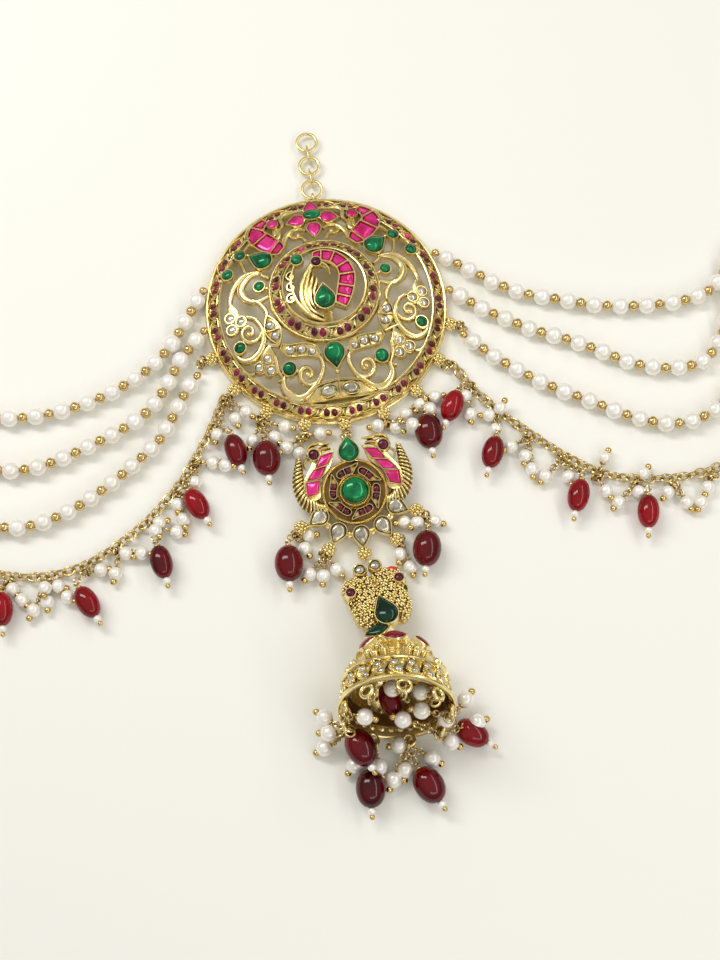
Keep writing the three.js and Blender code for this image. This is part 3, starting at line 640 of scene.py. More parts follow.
RIM_PAIRS = 28                    # pairs of small stones round the rim, and the circle they stand on
RIM_STONES_R = 28.95
BOSS_PAIRS = 12                   # the same round the boss
BOSS_STONES_R = 12.4
BALLS_R = 32.1                    # where the grained balls stand round the rim's foot
FRINGE_R = 34.8                   # where the fringe hangs from them
RIBBON_WIDTH = 1.5                # all the scrolls' widths are scaled by this
LOW = -0.9                        # underside of what stands on the dome, below its skin
SMALL_GREENS = [                  # x, y, radius
    (19.9, 16.4, 1.22), (23.8, 11.6, 1.28), (16.2, 6.0, 1.18), (23.2, -9.0, 1.28), (11.7, -17.0, 1.5),
]
SCROLLS = [
    Ribbon([(15.3, 10.3), (18.2, 10.7), (20.6, 10), (22.7, 7.8), (23.9, 5), (24.3, 2.4)],
           [0.7, 1.1, 1.2, 1.1, 0.8]),
    Ribbon([(19.9, 14.8), (19.4, 12.4), (19.0, 10.4)], [0.7, 0.6, 0.8]),
    Ribbon([(21.8, 15.6), (23.2, 14.4), (23.8, 13)], [0.5, 0.7, 0.5]),
    Ribbon([(14.9, 10.1), (18.6, 9.8), (20.9, 7.0), (20.0, 3.9), (17.4, 2.3), (14.0, 3.1)],
           [0.5, 1.4, 1.6, 1.2, 0.6]),
    Ribbon([(15.3, 9.4), (13.5, 8.0)], [0.6, 0.7]),
    Ribbon([(14.8, 5.4), (13.5, 4.9)], [0.6, 0.6]),
    Ribbon([(18.4, 2.8), (16.4, 1.2), (15.5, -0.6), (15.3, -2.4)], [0.6, 1.0, 0.7]),
    Ribbon([(20.9, -1.0), (18.4, -2.4), (17.0, -5.2), (17.0, -8.2), (18.6, -11), (21, -12.4),
            (23.4, -11.8), (25, -9.8)],
           [0.5, 0.9, 1.0, 1.2, 1.3, 1.1, 0.7]),
    Ribbon([(17.1, -6.0), (18.2, -7.5), (20.1, -8.0), (21.9, -6.9), (22.2, -4.9), (20.8, -3.8),
            (19.5, -4.6), (19.6, -5.8), (20.5, -6.0)],
           [0.4, 0.8, 0.9, 0.8, 0.7, 0.8]),
    Ribbon([(13.4, -10.6), (14.9, -10.0), (16.1, -9.6), (17.2, -9.2)], [0.6, 0.7, 0.5]),
    Ribbon([(15.9, -10.2), (14.9, -13.2), (14.6, -16.4), (13.7, -18.8), (15.2, -19.4)],
           [0.4, 0.9, 0.9, 0.6, 0.4]),
    Ribbon([(20.4, -16.0), (21.8, -16.0), (23.2, -14.6)], [0.6, 0.8, 0.6]),
    Ribbon([(3.9, -14.6), (3.3, -17.4), (4.4, -20.2), (6.9, -22.8), (9.2, -24.2), (11.9, -23.7),
            (13.8, -21.1), (13.3, -18.4)],
           [0.7, 0.9, 0.9, 1.2, 1.5, 1.7, 1.3, 0.6]),
    Ribbon([(4.0, -19.2), (5.4, -20.9), (7.6, -21.3), (9.2, -20.0), (9.1, -18.1), (7.7, -17.1),
            (6.4, -18.0), (6.7, -19.3), (7.5, -19.2)],
           [0.4, 0.8, 1.0, 0.8, 0.7, 0.8]),
    Ribbon([(4.6, 26.9), (6.6, 27.3), (8.1, 25.8), (7.9, 23.6), (8.9, 21.8)], [0.6, 1.0, 1.0, 0.6]),
    Ribbon([(2.2, 20.4), (4.4, 21.3), (6.6, 20.6), (7.9, 18.6), (8.3, 16.2)], [0.6, 1.0, 1.1, 0.8]),
    Ribbon([(5.4, 20.9), (6.1, 19.4), (5.0, 18.5), (4.2, 19.2)], [0.6, 0.8, 0.7]),
    Ribbon([(2.6, 16.9), (3.4, 18.4), (4.6, 18.2)], [0.8, 0.7, 0.5]),
    Ribbon([(9.6, 22.4), (9.2, 20.2), (10.6, 18.6)], [1.3, 1.0, 0.8]),
    Ribbon([(10.5, 22.2), (10.5, 20.6), (11.2, 19.4)], [0.5, 0.8, 0.6]),
    Ribbon([(14.2, 25.7), (16.8, 24.2), (17.9, 21.4)], [0.6, 0.9, 0.6]),
    Ribbon([(16.6, 19.9), (18.0, 18.6), (18.6, 17.6)], [0.7, 0.7, 0.6]),
]
BEADS = [                         # x, y, radius
    (20.6, -6.0, 0.62), (7.5, -19.1, 0.66), (4.3, 19.1, 0.55), (22.4, -7.6, 0.5), (9.9, -17.7, 0.5),
    (11.2, -15.4, 0.45), (21.6, -0.6, 0.45), (13.5, 4.6, 0.5), (17.9, 16.2, 0.45), (25.8, 10.6, 0.5),
]
TREFOILS = [
    {"stones": [(24.6, -0.6), (22.0, -2.2), (24.6, -3.8)], "tip": (24.2, 3.4)},
    {"stones": [(16.7, -13.3), (19.1, -15.0), (16.3, -16.4)], "tip": (15.9, -10.0)},
]
SIDE_BODY = Ribbon([(12.0, 25.6), (14.1, 23.9), (14.9, 21.3), (12.9, 18.4), (10.3, 16.0), (9.3, 14.9)],
                   [1.6, 3.2, 4.7, 5.1, 4.2, 2.2])
STONE_ROW = Ribbon([(13.0, -10.9), (10.7, -12.5), (7.9, -12.8), (5.3, -13.5), (3.9, -15.0)],
                   [1.0, 3.1, 3.3, 3.0, 1.0])
CRESCENT = Ribbon([(-9.6, -25.4), (-5, -24.2), (0, -23.8), (5, -24.2), (9.6, -25.4)],
                  [0.5, 3.9, 4.4, 3.9, 0.5])
PETALS = [(0, 26.9, 90), (-3.9, 23.7, 190), (3.9, 23.7, -10), (0, 20.5, -90)]       # x, y, direction
FEATHERS = [
    Ribbon([(-6.7, 8.6), (-8.2, 4.2), (-7.4, -1.2), (-5.0, -5.2), (-1.2, -7.6)], [0.5, 0.8, 0.9, 0.6]),
    Ribbon([(-2.6, 8.0), (-4.4, 5.4), (-5.7, 2.6), (-6.1, -1.2), (-4.6, -4.9), (-2.0, -7.0)],
           [0.8, 0.8, 0.9, 1.0, 0.9, 0.4]),
    Ribbon([(-2.2, 7.9), (-3.6, 4.9), (-4.7, 1.6), (-4.8, -1.9), (-3.6, -4.6), (-1.4, -6.3)],
           [0.5, 0.8, 1.0, 1.0, 0.7, 0.3]),
    Ribbon([(-1.9, 6.0), (-2.8, 3.8), (-3.7, 1.2), (-3.8, -1.9), (-3.0, -4.0)],
           [0.2, 0.8, 1.0, 0.8, 0.3]),
    Ribbon([(-1.5, 4.6), (-1.8, 3.0), (-2.6, 1.0), (-3.0, -0.8)], [0.2, 0.8, 0.8, 0.3]),
]
PEACOCK_TAIL = Ribbon([(-1.9, 10.4), (0.5, 10.3), (3.4, 9.3), (5.4, 7.0), (6.1, 4.0), (5.4, 0.9),
                       (4.4, -1.9), (3.4, -4.2)],
                      [1.6, 3.0, 3.2, 3.5, 3.9, 4.0, 3.7, 2.8])
BALL_ANGLES = [-90 + 18.3 * i for i in range(-4, 5)]
BALL_GRAINS = 26
GOLDEN_TURN = 2.39996             # the angle in radians that spreads grains evenly over a ball


def bent(outline, radius, angle, centre=(0, 0)):
    """An outline laid along a circle: its first axis runs round clockwise, its second points out."""
    outline = np.asarray(outline)
    turn = math.radians(angle) - outline[:, 0] / radius
    reach = radius + outline[:, 1]
    return np.column_stack([centre[0] + reach * np.cos(turn), centre[1] + reach * np.sin(turn)])


def setting(put, outline, kind, style=cabochon, wall=0.45, high=1.0, crown=0.75, floor=LOW):
    """A stone in its collet."""
    put(edging(grown(outline, 0.5 * wall), wall, floor, high))
    put(plate(grown(outline, 0.1), floor, high - 0.75, 0.05))
    if style is brilliant:
        put(brilliant(outline, high - 0.7, high - 0.35 + crown), kind, False)
    else:
        put(style(outline, high - 0.7, high - 0.12, high - 0.12 + crown), kind)


def ribbon(put, strip, high=0.6, section=ROUND_TOP):
    path = spline(strip.through, 5 * len(strip.through) + 3)
    put(sweep(path, [RIBBON_WIDTH * width for width in strip.widths], LOW, high, section))


def strip_edges(strip, count=60):
    """The right and left edges of a strip of changing width."""
    path = spline(strip.through, count)
    ahead = directions(np.gradient(path, axis=0))
    marks = np.linspace(0, 1, len(strip.widths))
    half = 0.5 * np.interp(np.linspace(0, 1, count), marks, strip.widths)[:, None]
    right = np.column_stack([ahead[:, 1], -ahead[:, 0]])
    return path + right * half, path - right * half


def strip_outline(strip):
    right, left = strip_edges(strip)
    return np.vstack([right[::3], left[::-3]])


def pink_strip(put, strip, count, gap, wall, high, top, table):
    """A curved row of flat pink stones in a raised edge, with a bar between each two."""
    whole = strip_outline(strip)
    put(plate(whole, LOW, 0.3, 0.05))
    put(edging(grown(whole, 0.05), wall, LOW, high))
    right, left = strip_edges(strip)
    marks = np.linspace(0, len(right) - 1, count + 1).astype(int)
    for mark in marks[1:-1]:
        put(bar(right[mark], left[mark], 0.7, 0, high + 0.05))
    for start, stop in zip(marks[:-1], marks[1:]):
        side = np.linspace(start, stop, 7).astype(int)
        cell = np.vstack([right[side], left[side[::-1]]])
        put(flat_stone(shrunk(grown(cell, -0.4 * gap), 0.97), 0, top - 0.3, top, table), "pink")


def ruby_ring(put, radius, pairs, offset, stone, centre=(0, 0)):
    """Pairs of small stones in leaf-shaped frames round a band."""
    pitch = TAU * radius / pairs
    for i in range(pairs):
        angle = offset + 360 * i / pairs
        frame_line = bent(leaf(0, 0, 9, 0.98 * pitch, 3.5 * stone, 13), radius, angle, centre)
        put(plate(frame_line, -0.5, 0.48, 0.05))
        put(edging(frame_line, 0.42, -0.5, 0.8))
        fence = [(0.06, -1.25 * stone), (0, 0), (-0.06, 1.25 * stone)]
        put(sweep(bent(fence, radius, angle, centre), [0.3], -0.4, 0.8))
        for side in (-1, 1):
            seat = bent(oval(1.27 * stone * side, 0.08 * side, stone, count=12), radius, angle, centre)
            kind = "pink" if RANDOM.random() < 0.04 else "rose" if RANDOM.random() < 0.35 else "garnet"
            top = 1.0 + 0.12 * RANDOM.random()
            put(cabochon(seat + 0.05 * RANDOM.standard_normal(2), -0.3, 0.55, top, 4), kind)
        spur = bent(leaf(0.5 * pitch, 0.0, 62, 2.3 * stone, 0.9 * stone, 9), radius, angle, centre)
        put(plate(spur, -0.4, 0.75, 0.15))


def rim(pile):
    """The rim's two ridges, the dark floor between them, which is painted shade where it shows between the
    stones' frames, and the stones on it.
    """
    def on(radius, height):
        slope = RIM_FALL * max(radius - DISC_R + RIM_BAND, 0)
        return radius, float(skin_height(radius, 0)) - slope + height

    side = [(30.2, 0), (31, 0), (31, 0.7), (30.8, 0.85), (30.8, 1.1), (31.05, 1.25), (31.05, 1.5),
            (30.85, 1.65)]
    over = [(31.0, 0.75), (30.95, 1.1), (30.6, 1.2), (30.3, 0.85), (30.22, 0.35), (30.1, 0.5),
            (29.9, 0.5), (29.78, 0.2), (29.75, -0.05), (28.15, -0.05), (28.1, 0.2), (27.95, 0.42),
            (27.8, 0.32), (27.75, 0.12), (27.6, 0.5), (27.35, 0.68), (27.12, 0.5), (27.05, -1.1),
            (30.2, -1.1)]
    floor = [(29.7, -0.2), (29.7, -0.01), (28.2, -0.01), (28.2, -0.2)]
    pile.add(lathe(side + [on(*point) for point in over], 144, wrap=True))
    # Painted shade: the floor is in the darker gold so that the gaps between the stones' frames look
    # shaded.
    pile.add(lathe([on(*point) for point in floor], 144, wrap=True), "chain")
    ruby_ring(changed(pile.add, on_rim), RIM_STONES_R, RIM_PAIRS, -90 + 180 / RIM_PAIRS, 0.78)


def boss_band(pile):
    """The raised band round the boss, like the rim's."""
    put = changed(pile.add, on_dome)
    profile = [(10.2, -1.1), (14.3, -1.1), (14.4, 0.2), (14.25, 0.75), (13.95, 0.92), (13.7, 0.7),
               (13.65, 0.3), (13.55, 0.58), (13.35, 0.66), (13.2, 0.45), (13.15, 0), (11.55, 0),
               (11.5, 0.35), (11.3, 0.55), (11.1, 0.45), (11.02, 0.15), (10.9, 0.5), (10.6, 0.8),
               (10.3, 0.7), (10.1, 0.2)]
    floor = [(13.1, -0.2), (13.1, 0.04), (11.6, 0.04), (11.6, -0.2)]
    put(moved(lathe(profile, 96, wrap=True), (*BOSS_CENTRE, 0)))
    # Painted shade: the floor is in the darker gold so that the gaps between the stones' frames look
    # shaded.
    put(moved(lathe(floor, 96, wrap=True), (*BOSS_CENTRE, 0)), "chain")
    ruby_ring(put, BOSS_STONES_R, BOSS_PAIRS, 15, 0.84, BOSS_CENTRE)


def peacock(put):
    """The boss's peacock: a fanned arc of pink stones, its head, and feathers round a green drop."""
    pink_strip(put, PEACOCK_TAIL, 7, 0.85, 0.8, 1.2, 1.0, 0.8)
    setting(put, oval(-1.1, 8.5, 1.1), "garnet", high=1.5, wall=0.6, crown=0.6)
    beak = Ribbon([(-0.2, 8.5), (1.0, 7.6), (1.8, 6.2), (1.9, 4.8)], [1.1, 1.0, 0.7, 0.2])
    ribbon(put, beak, high=1.1, section=RIDGED)
    setting(put, oval(-5.9, 10.0, 1.3), "emerald", wall=0.6, high=1.25)
    for feather in FEATHERS:
        ribbon(put, feather, high=0.95)
    for x, y in ((-8.0, 5.7), (-8.3, 2.7), (-8.7, -0.4)):
        put(sweep(spiral(x, y, 1.45, 0.4, 60, 1.15), [0.5, 0.85, 0.8, 0.6], LOW, 0.8))
        put(moved(ball(0.52), (x, y, 0.5)))
    setting(put, drop(-0.35, -2.0, 90, 2.35, 4.0), "emerald", wall=0.6, high=1.3, crown=1.5)


def trefoil(put, stones, tip):
    """Three clear stones on a leaf that narrows to its tip."""
    middle = np.mean(stones, axis=0)
    tip = np.array(tip)
    angle = math.degrees(math.atan2(*(tip - middle)[::-1]))
    body = leaf(*(0.5 * (tip + middle)), angle, 1.35 * np.linalg.norm(tip - middle), 3.4, lean=-0.5)
    put(plate(body, LOW, 0.55, 0.3))
    put(plate(oval(*middle, 1.5, count=16), LOW, 0.42, 0.1))
    for stone in stones:
        put(plate(oval(*(0.12 * middle + 0.88 * np.array(stone)), 1.75), LOW, 0.4, 0.15))
        setting(put, oval(*stone, 1.12, count=16), "clear", brilliant, wall=0.42, high=0.85, crown=0.3)


def side_ornament(put):
    """One side's scrolls, peacock and stones."""
    for scroll in SCROLLS:
        ribbon(put, scroll)
    for x, y, radius in BEADS:
        put(moved(ball(radius, 10, 6), (x, y, 0.35)))
    for x, y, radius in SMALL_GREENS:
        setting(put, oval(x, y, radius), "emerald", wall=0.55, high=1.05)
    pink_strip(put, SIDE_BODY, 4, 0.95, 0.75, 1.1, 0.98, 0.82)
    setting(put, oval(10.4, 23.9, 1.2), "pink", flat_stone, high=1.2, crown=0.25)
    setting(put, drop(14.4, 13.3, 33, 2.3, 3.7), "emerald", wall=0.55, high=1.2, crown=1.4)
    for row in TREFOILS:
        trefoil(put, **row)
    seam = leaf(14.35, -6.4, 76, 8.6, 3.9)
    put(edging(seam, 0.42, LOW, 0.9))
    put(plate(seam, LOW, 0.2, 0.05))
    put(sweep([(12.9, -6.2), (14.4, -6.5), (15.9, -6.6)], [0.32], 0, 0.85))
    for x, y in ((14.85, -4.9), (13.9, -7.9)):
        put(brilliant(oval(x, y, 1.2, count=16), 0.1, 1.0), "clear", False)
    whole = strip_outline(STONE_ROW)
    put(plate(whole, LOW, 0.25, 0.05))
    put(edging(whole, 0.42, LOW, 0.9))
    for x, y, radius in ((5.35, -13.6, 0.95), (7.95, -12.75, 1.15), (10.7, -12.4, 1.15)):
        put(brilliant(oval(x, y, radius, count=16), 0.1, 0.98), "clear", False)
    for start, stop in (((6.5, -11.6), (6.7, -14.6)), ((9.2, -11.0), (9.5, -14.2))):
        put(bar(start, stop, 0.3, 0, 0.85))


def centre_ornament(put):
    """The flower at the top, and the green drop and two white stones at the foot."""
    for x, y, angle in PETALS:
        setting(put, drop(x, y, angle, 1.5, 2.6, 14), "pink", flat_stone, wall=0.72, high=1.0, crown=0.25)
    setting(put, oval(0, 24.7, 2.15, 1.4), "emerald", wall=0.55, high=1.6, crown=0.8)
    setting(put, drop(0, -14.8, -90, 2.35, 3.9), "emerald", wall=0.55, high=1.2, crown=1.4)
    put(moved(ball(0.62), (0, -19.5, 0.3)))
    put(sweep([(0, -18.6), (0, -20), (0, -21.6)], [0.5], LOW, 0.4))
    put(sweep(spline([(-5.6, -21.9), (0, -21.2), (5.6, -21.9)], 13), [0.5], LOW, 0.6))
    whole = strip_outline(CRESCENT)
    put(plate(whole, LOW, 0.0, 0.05))
    put(edging(whole, 0.5, LOW, 0.95))
    put(bar((0, -21.6), (0, -26), 0.5, 0, 1.0))
    for x in (-2.85, 2.85):
        stone = oval(x, -23.75, 2.15, 1.4, angle=-3 * x, count=16)
        put(edging(grown(stone, 0.1), 0.36, 0, 0.75))
        put(brilliant(stone, 0, 1.0), "kundan", False)


def granules(pile, at, radius):
    """A ball covered with grains."""
    pile.add(moved(ball(0.8 * radius, 10, 6), at))
    for k in range(BALL_GRAINS):
        lift = 1 - 2 * (k + 0.5) / BALL_GRAINS
        out = math.sqrt(1 - lift * lift)
        direction = np.array([out * math.cos(k * GOLDEN_TURN), out * math.sin(k * GOLDEN_TURN), lift])
        pile.add(moved(ball(0.36 * radius, 6, 4), np.asarray(at) + direction * 0.8 * radius))


def medallion():
    pile = Pile()
    rim(pile)
    boss_band(pile)
    put = changed(pile.add, on_dome)
    side_ornament(changed(mirrored(pile.add), on_dome))
    centre_ornament(put)
    peacock(put)
    for angle in BALL_ANGLES:
        granules(pile, (*polar(BALLS_R, angle), 1.9), 1.6)
    pile.add(moved(torus(1.15, 0.35), (1.3, DISC_R + 0.7, 1.5), about("Y", 90)))
    nodes = ["medallion", "side_drop_right", "side_drop_left", "foot_drop", "boss_drop"]
    pile.build("medallion_set", nodes)


# ---------- strands and chains ----------
# tie: which of the end bar's eyes, from its top. side: 1 to the right, -1 to the left.
# shift: how far the beads are moved along, as a share of a pair.
STRANDS = [
    {"name": "pearl_strand_right_1", "tie": 0, "side": 1, "shift": -0.2,
     "route": [(32.2, 9.4), (38.2, 4.7), (44, 0), (51, -4), (60, -7.2), (68, -9.9), (76, -11.5),
               (84, -12.3), (92, -12.1), (98.6, -10.2), (103.2, -5.6)]},
    {"name": "pearl_strand_right_2", "tie": 1, "side": 1, "shift": 0,
     "route": [(33, -0.8), (39.6, -6.6), (45.2, -10.4), (51, -14.2), (59, -18), (67, -22.6),
               (75, -27.4), (84, -29.9), (92, -29.4), (97.8, -24), (101.6, -16.4), (105, -9.6)]},
    {"name": "pearl_strand_right_3", "tie": 2, "side": 1, "shift": -0.08,
     "route": [(34.6, -14), (40, -19.8), (46, -25), (53, -30.2), (62, -35.6), (71, -41), (80, -44.4),
               (88, -44.2), (96, -40), (102, -32), (105.4, -23.4), (106.8, -16.4)]},
    {"name": "pearl_strand_left_1", "tie": 0, "side": -1, "shift": -0.2,
     "route": [(-32, 7.6), (-36, 2), (-40.5, -4), (-46, -9), (-53, -12.9), (-61, -15.8), (-69.5, -17.4),
               (-78, -17.8), (-86, -16.6), (-94, -13.2), (-101, -7.4)]},
    {"name": "pearl_strand_left_2", "tie": 1, "side": -1, "shift": -0.1,
     "route": [(-33, -2.8), (-38.6, -8.6), (-43, -15), (-48, -20.6), (-55, -24.6), (-63, -27.5),
               (-71, -30), (-79, -31.4), (-87, -30.4), (-95, -25.6), (-101, -17.6), (-105.2, -10)]},
    {"name": "pearl_strand_left_3", "tie": 2, "side": -1, "shift": 0.2,
     "route": [(-34.8, -13.4), (-38, -16.8), (-42, -23), (-46.5, -29), (-53, -34), (-60, -38.6),
               (-68, -42.8), (-77, -45.6), (-86, -45.6), (-94.6, -41.6), (-101.4, -33.4),
               (-105.4, -24.4), (-106.8, -16.4)]},
]
CHAINS = [
    {"name": "side_chain_right", "tie": 3, "side": 1,
     "route": [(29.4, -19.8), (33, -26.8), (39, -34.6), (46, -42), (54, -49.4), (63, -55.2),
               (73, -57.6), (83, -58.2), (92, -56.4), (101, -50), (107.6, -40), (110.8, -28)]},
    {"name": "side_chain_left", "tie": 3, "side": -1,
     "route": [(-29.4, -20.6), (-34, -28.6), (-41, -38.6), (-47, -45), (-54, -50.6), (-62, -55.2),
               (-70, -58.2), (-78, -59), (-87, -57.4), (-96, -53.2), (-104, -45.4), (-109.2, -34.6),
               (-111.2, -25)]},
]
BEAD_PAIR = [                     # place in the pair, radius, material, sides, rings, length to width
    (0.31, PEARL_R, "pearl", 22, 14, 1.03),
    (0.8, SPACER_R, "bright", 16, 10, 0.86),
]
LEAD_BEAD_R = 1.05                # the small gold bead before a string's first pearl
BEAD_HEIGHT = 1.06 * PEARL_R      # of a strand's beads over the surface
END_MARGIN = 0.8                  # a bead's middle keeps this far from its string's ends
THREAD_R = 0.22
LINK_PITCH = 2.15
LINK_STRETCH = (1.25, 1, 1)
LINK_TILTS = (-68, 20)            # about the chain, in turn, in degrees
STRAND_CLEAR = 0.5 * BAR_THICK + 2 * GAP            # from the end bar's middle to where a strand ends
CHAIN_CLEAR = 0.5 * BAR_THICK + CHAIN_R + GAP       # and a chain


def bar_tie(number, side, clear):
    """Where a string ends, this far clear of the end bar's middle."""
    place = BAR_TOP + (BAR_FOOT - BAR_TOP) * (0.08 + 0.28 * number)
    inward = np.array([BAR_FOOT[1] - BAR_TOP[1], BAR_TOP[0] - BAR_FOOT[0]])
    place = place + inward / np.linalg.norm(inward) * clear
    return np.array([side * place[0], place[1]])


def row_curve(row, clear):
    return route_curve([*row["route"], bar_tie(row["tie"], row["side"], clear)])


def strand(row):
    """Pearls and gold spacers in turn along the row's route, with the thread that shows at their ends."""
    pile = Pile()
    curve = row_curve(row, STRAND_CLEAR)
    whole = curve[1][-1]
    pairs = round(whole / PAIR_PITCH)
    thread = [(*point_at(curve, length), PEARL_R) for length in np.linspace(0, whole, 90)]
    pile.add(sweep(thread, [2 * THREAD_R], -THREAD_R, THREAD_R, circle_section(6)), "bright")
    first = max(whole * (BEAD_PAIR[0][0] + row["shift"]) / pairs, END_MARGIN)
    lead = point_at(curve, first) - ahead_at(curve, first) * (PEARL_R + LEAD_BEAD_R)
    pile.add(moved(ball(LEAD_BEAD_R, 14, 9), (*lead, BEAD_HEIGHT)), "bright")
    for pair in range(pairs):
        for share, radius, kind, sides, rings, stretch in BEAD_PAIR:
            length = whole * (pair + share + row["shift"]) / pairs
            length = np.clip(length, END_MARGIN, whole - END_MARGIN)
            size = radius * (1 + 0.025 * RANDOM.standard_normal())
            turn = facing((*ahead_at(curve, length), 0))
            at = (*point_at(curve, length), BEAD_HEIGHT)
            bead = lathe(bead_side(1, stretch, rings), sides)
            pile.add(moved(bead, at, turn, size), kind)
    pile.build(row["name"] + "_beads", [row["name"]])


def chain(row):
    """Small oval links, each turned a quarter against the last."""
    pile = Pile()
    curve = row_curve(row, CHAIN_CLEAR)
    ring = torus(1.12, 0.31, 18, 7)
    link = ring[0] * LINK_STRETCH, ring[1]
    for i in range(int(curve[1][-1] / LINK_PITCH)):
        length = LINK_PITCH * (i + 0.5)
        ahead = ahead_at(curve, length)
        along = about("Z", math.degrees(math.atan2(ahead[1], ahead[0])))
        tilt = LINK_TILTS[i % 2] + 8 * RANDOM.standard_normal()
        turn = along @ about("X", -row["side"] * tilt)
        pile.add(moved(link, (*point_at(curve, length), 1.45), turn), "chain")
    pile.build(row["name"] + "_links", [row["name"]])


def end_bar(side):
    """A rounded bar with an eye for each string and a ring to hook it by."""
    pile = Pile()
    top, foot = (np.array([side * p[0], p[1]]) for p in (BAR_TOP, BAR_FOOT))
    whole = np.linalg.norm(foot - top)
    ahead = (foot - top) / whole
    path = [(*(top + ahead * t), PEARL_R) for t in np.linspace(0.2, whole - 0.2, 12)]
    pile.add(sweep(path, [1.2, 1.9, 1.9, 1.9, 1.2], -0.85, 0.85, circle_section(10)))
    out = np.array([-ahead[1], ahead[0]]) * side
    pile.add(moved(torus(2.4, 0.5, 30, 10), (*(0.5 * (top + foot) + 2.9 * out), PEARL_R)))
    for number in range(4):
        pile.add(moved(ball(0.75, 12, 8), (*bar_tie(number, side, 0.7), PEARL_R)))
    name = "end_bar_right" if side > 0 else "end_bar_left"
    pile.build(name + "_cast", [name])


def wire_piece(node, shape, at, turn=None):
    """A ring or link of wire that stands for one node."""
    pile = Pile()
    pile.add(moved(shape, at, turn))
    pile.build(node + "_wire", [node])


def box_middle(node):
    low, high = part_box(node)
    return np.array(low + high) / (2 * MM)


def extender():
    """Three round rings, and the small upright links between them."""
    for i in range(3):
        node = f"extender_ring_{i + 1}"
        wire_piece(node, torus(2.58, 0.42, 40, 12), box_middle(node))
    points, faces = torus(1.24, 0.28, 26, 8)
    for i in range(2):
        node = f"extender_link_{i + 1}"
        wire_piece(node, (points * (1, 1.9, 1), faces), box_middle(node), about("Y", 90))


# ---------- hanging pearls and red drops ----------
RUBY_LEANS = {                    # how far each drop leans from straight down the picture, in degrees
    "ruby_fringe_left": -2, "ruby_fringe_right": 0, "ruby_plaque_left": -6, "ruby_plaque_right": -14,
    "ruby_left_1": 10, "ruby_left_2": 24, "ruby_left_3": 8, "ruby_left_4": 24, "ruby_left_5": -2,
    "ruby_right_1": -30, "ruby_right_2": -24, "ruby_right_3": -22, "ruby_right_4": -12,
    "ruby_bell_1": 20, "ruby_bell_2": -6, "ruby_bell_3": 24, "ruby_bell_4": 50,
}
DARK_RUBIES = ["ruby_fringe_left", "ruby_fringe_right", "ruby_plaque_left", "ruby_plaque_right",
               "ruby_left_1", "ruby_left_3", "ruby_bell_1", "ruby_bell_2", "ruby_bell_3"]
CLUSTERS = {                      # where each small pearl lies
    "fringe_pearls": [
        (-32, -29.5), (-27, -26), (-24, -25), (-23.4, -32.5), (-18, -32.4), (-15, -30), (-15.3, -35.6),
        (-12.3, -37.6), (-6.5, -33.3), (8, -33.4), (12.5, -34.5), (15.5, -31.5), (19.5, -29.5),
        (16.4, -35.5), (21.5, -31.6), (23.5, -28),
    ],
    "plaque_pearls": [
        (-13.4, -58.7), (-14.6, -62), (-14.4, -68.5), (-11.2, -69.6), (-7.7, -68.4), (10.5, -59),
        (13.5, -60), (18, -60), (8, -67), (10, -70.6),
    ],
    "left_chain_pearls": [
        (-34, -36.6), (-31, -38), (-39, -41), (-44, -46), (-43, -50), (-45, -53), (-49, -50),
        (-50, -52.4), (-54, -57), (-58, -56.4), (-64.4, -59.6), (-61, -61), (-73, -65), (-75, -62),
        (-78, -65.4), (-78, -62.3), (-81.5, -67), (-84, -64), (-86, -61),
    ],
    "right_chain_pearls": [
        (31, -29), (31.5, -34), (36, -35), (39, -34), (37, -39), (40, -44), (43, -47), (44, -50.6),
        (47, -53), (52.5, -54), (62.4, -50.6), (61, -59), (63.5, -62.4), (69, -60.5), (71, -56),
        (76, -61.7), (80, -65), (83.5, -65.5), (86, -62),
    ],
}
BUNCHES = {                       # loose rings at each place, and how far they scatter
    "fringe": (5, 0.6), "left": (3, 0.6), "right": (3, 0.6), "plaque": (6, 0.6), "bell": (2, 0.3),
}
SLIM = 0.9                        # the side chains' red drops have this share of the frame's radius
SMALL_PEARL_R = 1.7
PIN_HEAD_R = 0.87
RING_PITCH = 1.2                  # of the rings that something hangs by
HOST_START, HOST_STEP, HOST_END = 6.5, 9.72, 8      # along a side chain, the places that drops hang from
PLACED = []                       # every bead laid so far, as (x, y, z, radius)


def rest_height(x, y, radius):
    """The lowest height at which a bead lies clear of those already laid, or nearly so in a deep heap."""
    height = radius
    for ox, oy, oz, other in PLACED:
        apart = math.hypot(x - ox, y - oy)
        reach = radius + other
        if apart < reach:
            height = max(height, oz + 0.9 * math.sqrt(reach**2 - apart**2))
    return min(height, 2.9 * radius)


def nearest(hosts, x, y):
    return min(hosts, key=lambda host: math.hypot(host[0] - x, host[1] - y))


def ring_bunch(pile, host, count, spread):
    """Loose rings gathered where things hang."""
    for _ in range(count):
        x, y, z = np.asarray(host) + spread * RANDOM.standard_normal(3) * (1, 1, 0.4)
        turn = about("Z", 360 * RANDOM.random()) @ about("X", 30 + 55 * RANDOM.random())
        pile.add(moved(torus(1.0, 0.25, 16, 6), (x, y, max(z, 1.25)), turn), "chain")


def ring_chain(pile, start, stop):
    """Small rings, each turned against the last, from one place to another."""
    start, span = np.asarray(start, float), np.subtract(stop, start)
    count = max(round(np.linalg.norm(span) / RING_PITCH), 1)
    along = facing(span)
    for k in range(count):
        x, y, z = start + span * (k + 0.5) / count
        turn = along @ about("Z", 90 * (k % 2) + 20) @ about("X", 90)
        pile.add(moved(torus(0.78, 0.2, 14, 6), (x, y, max(z, 0.95)), turn), "chain")


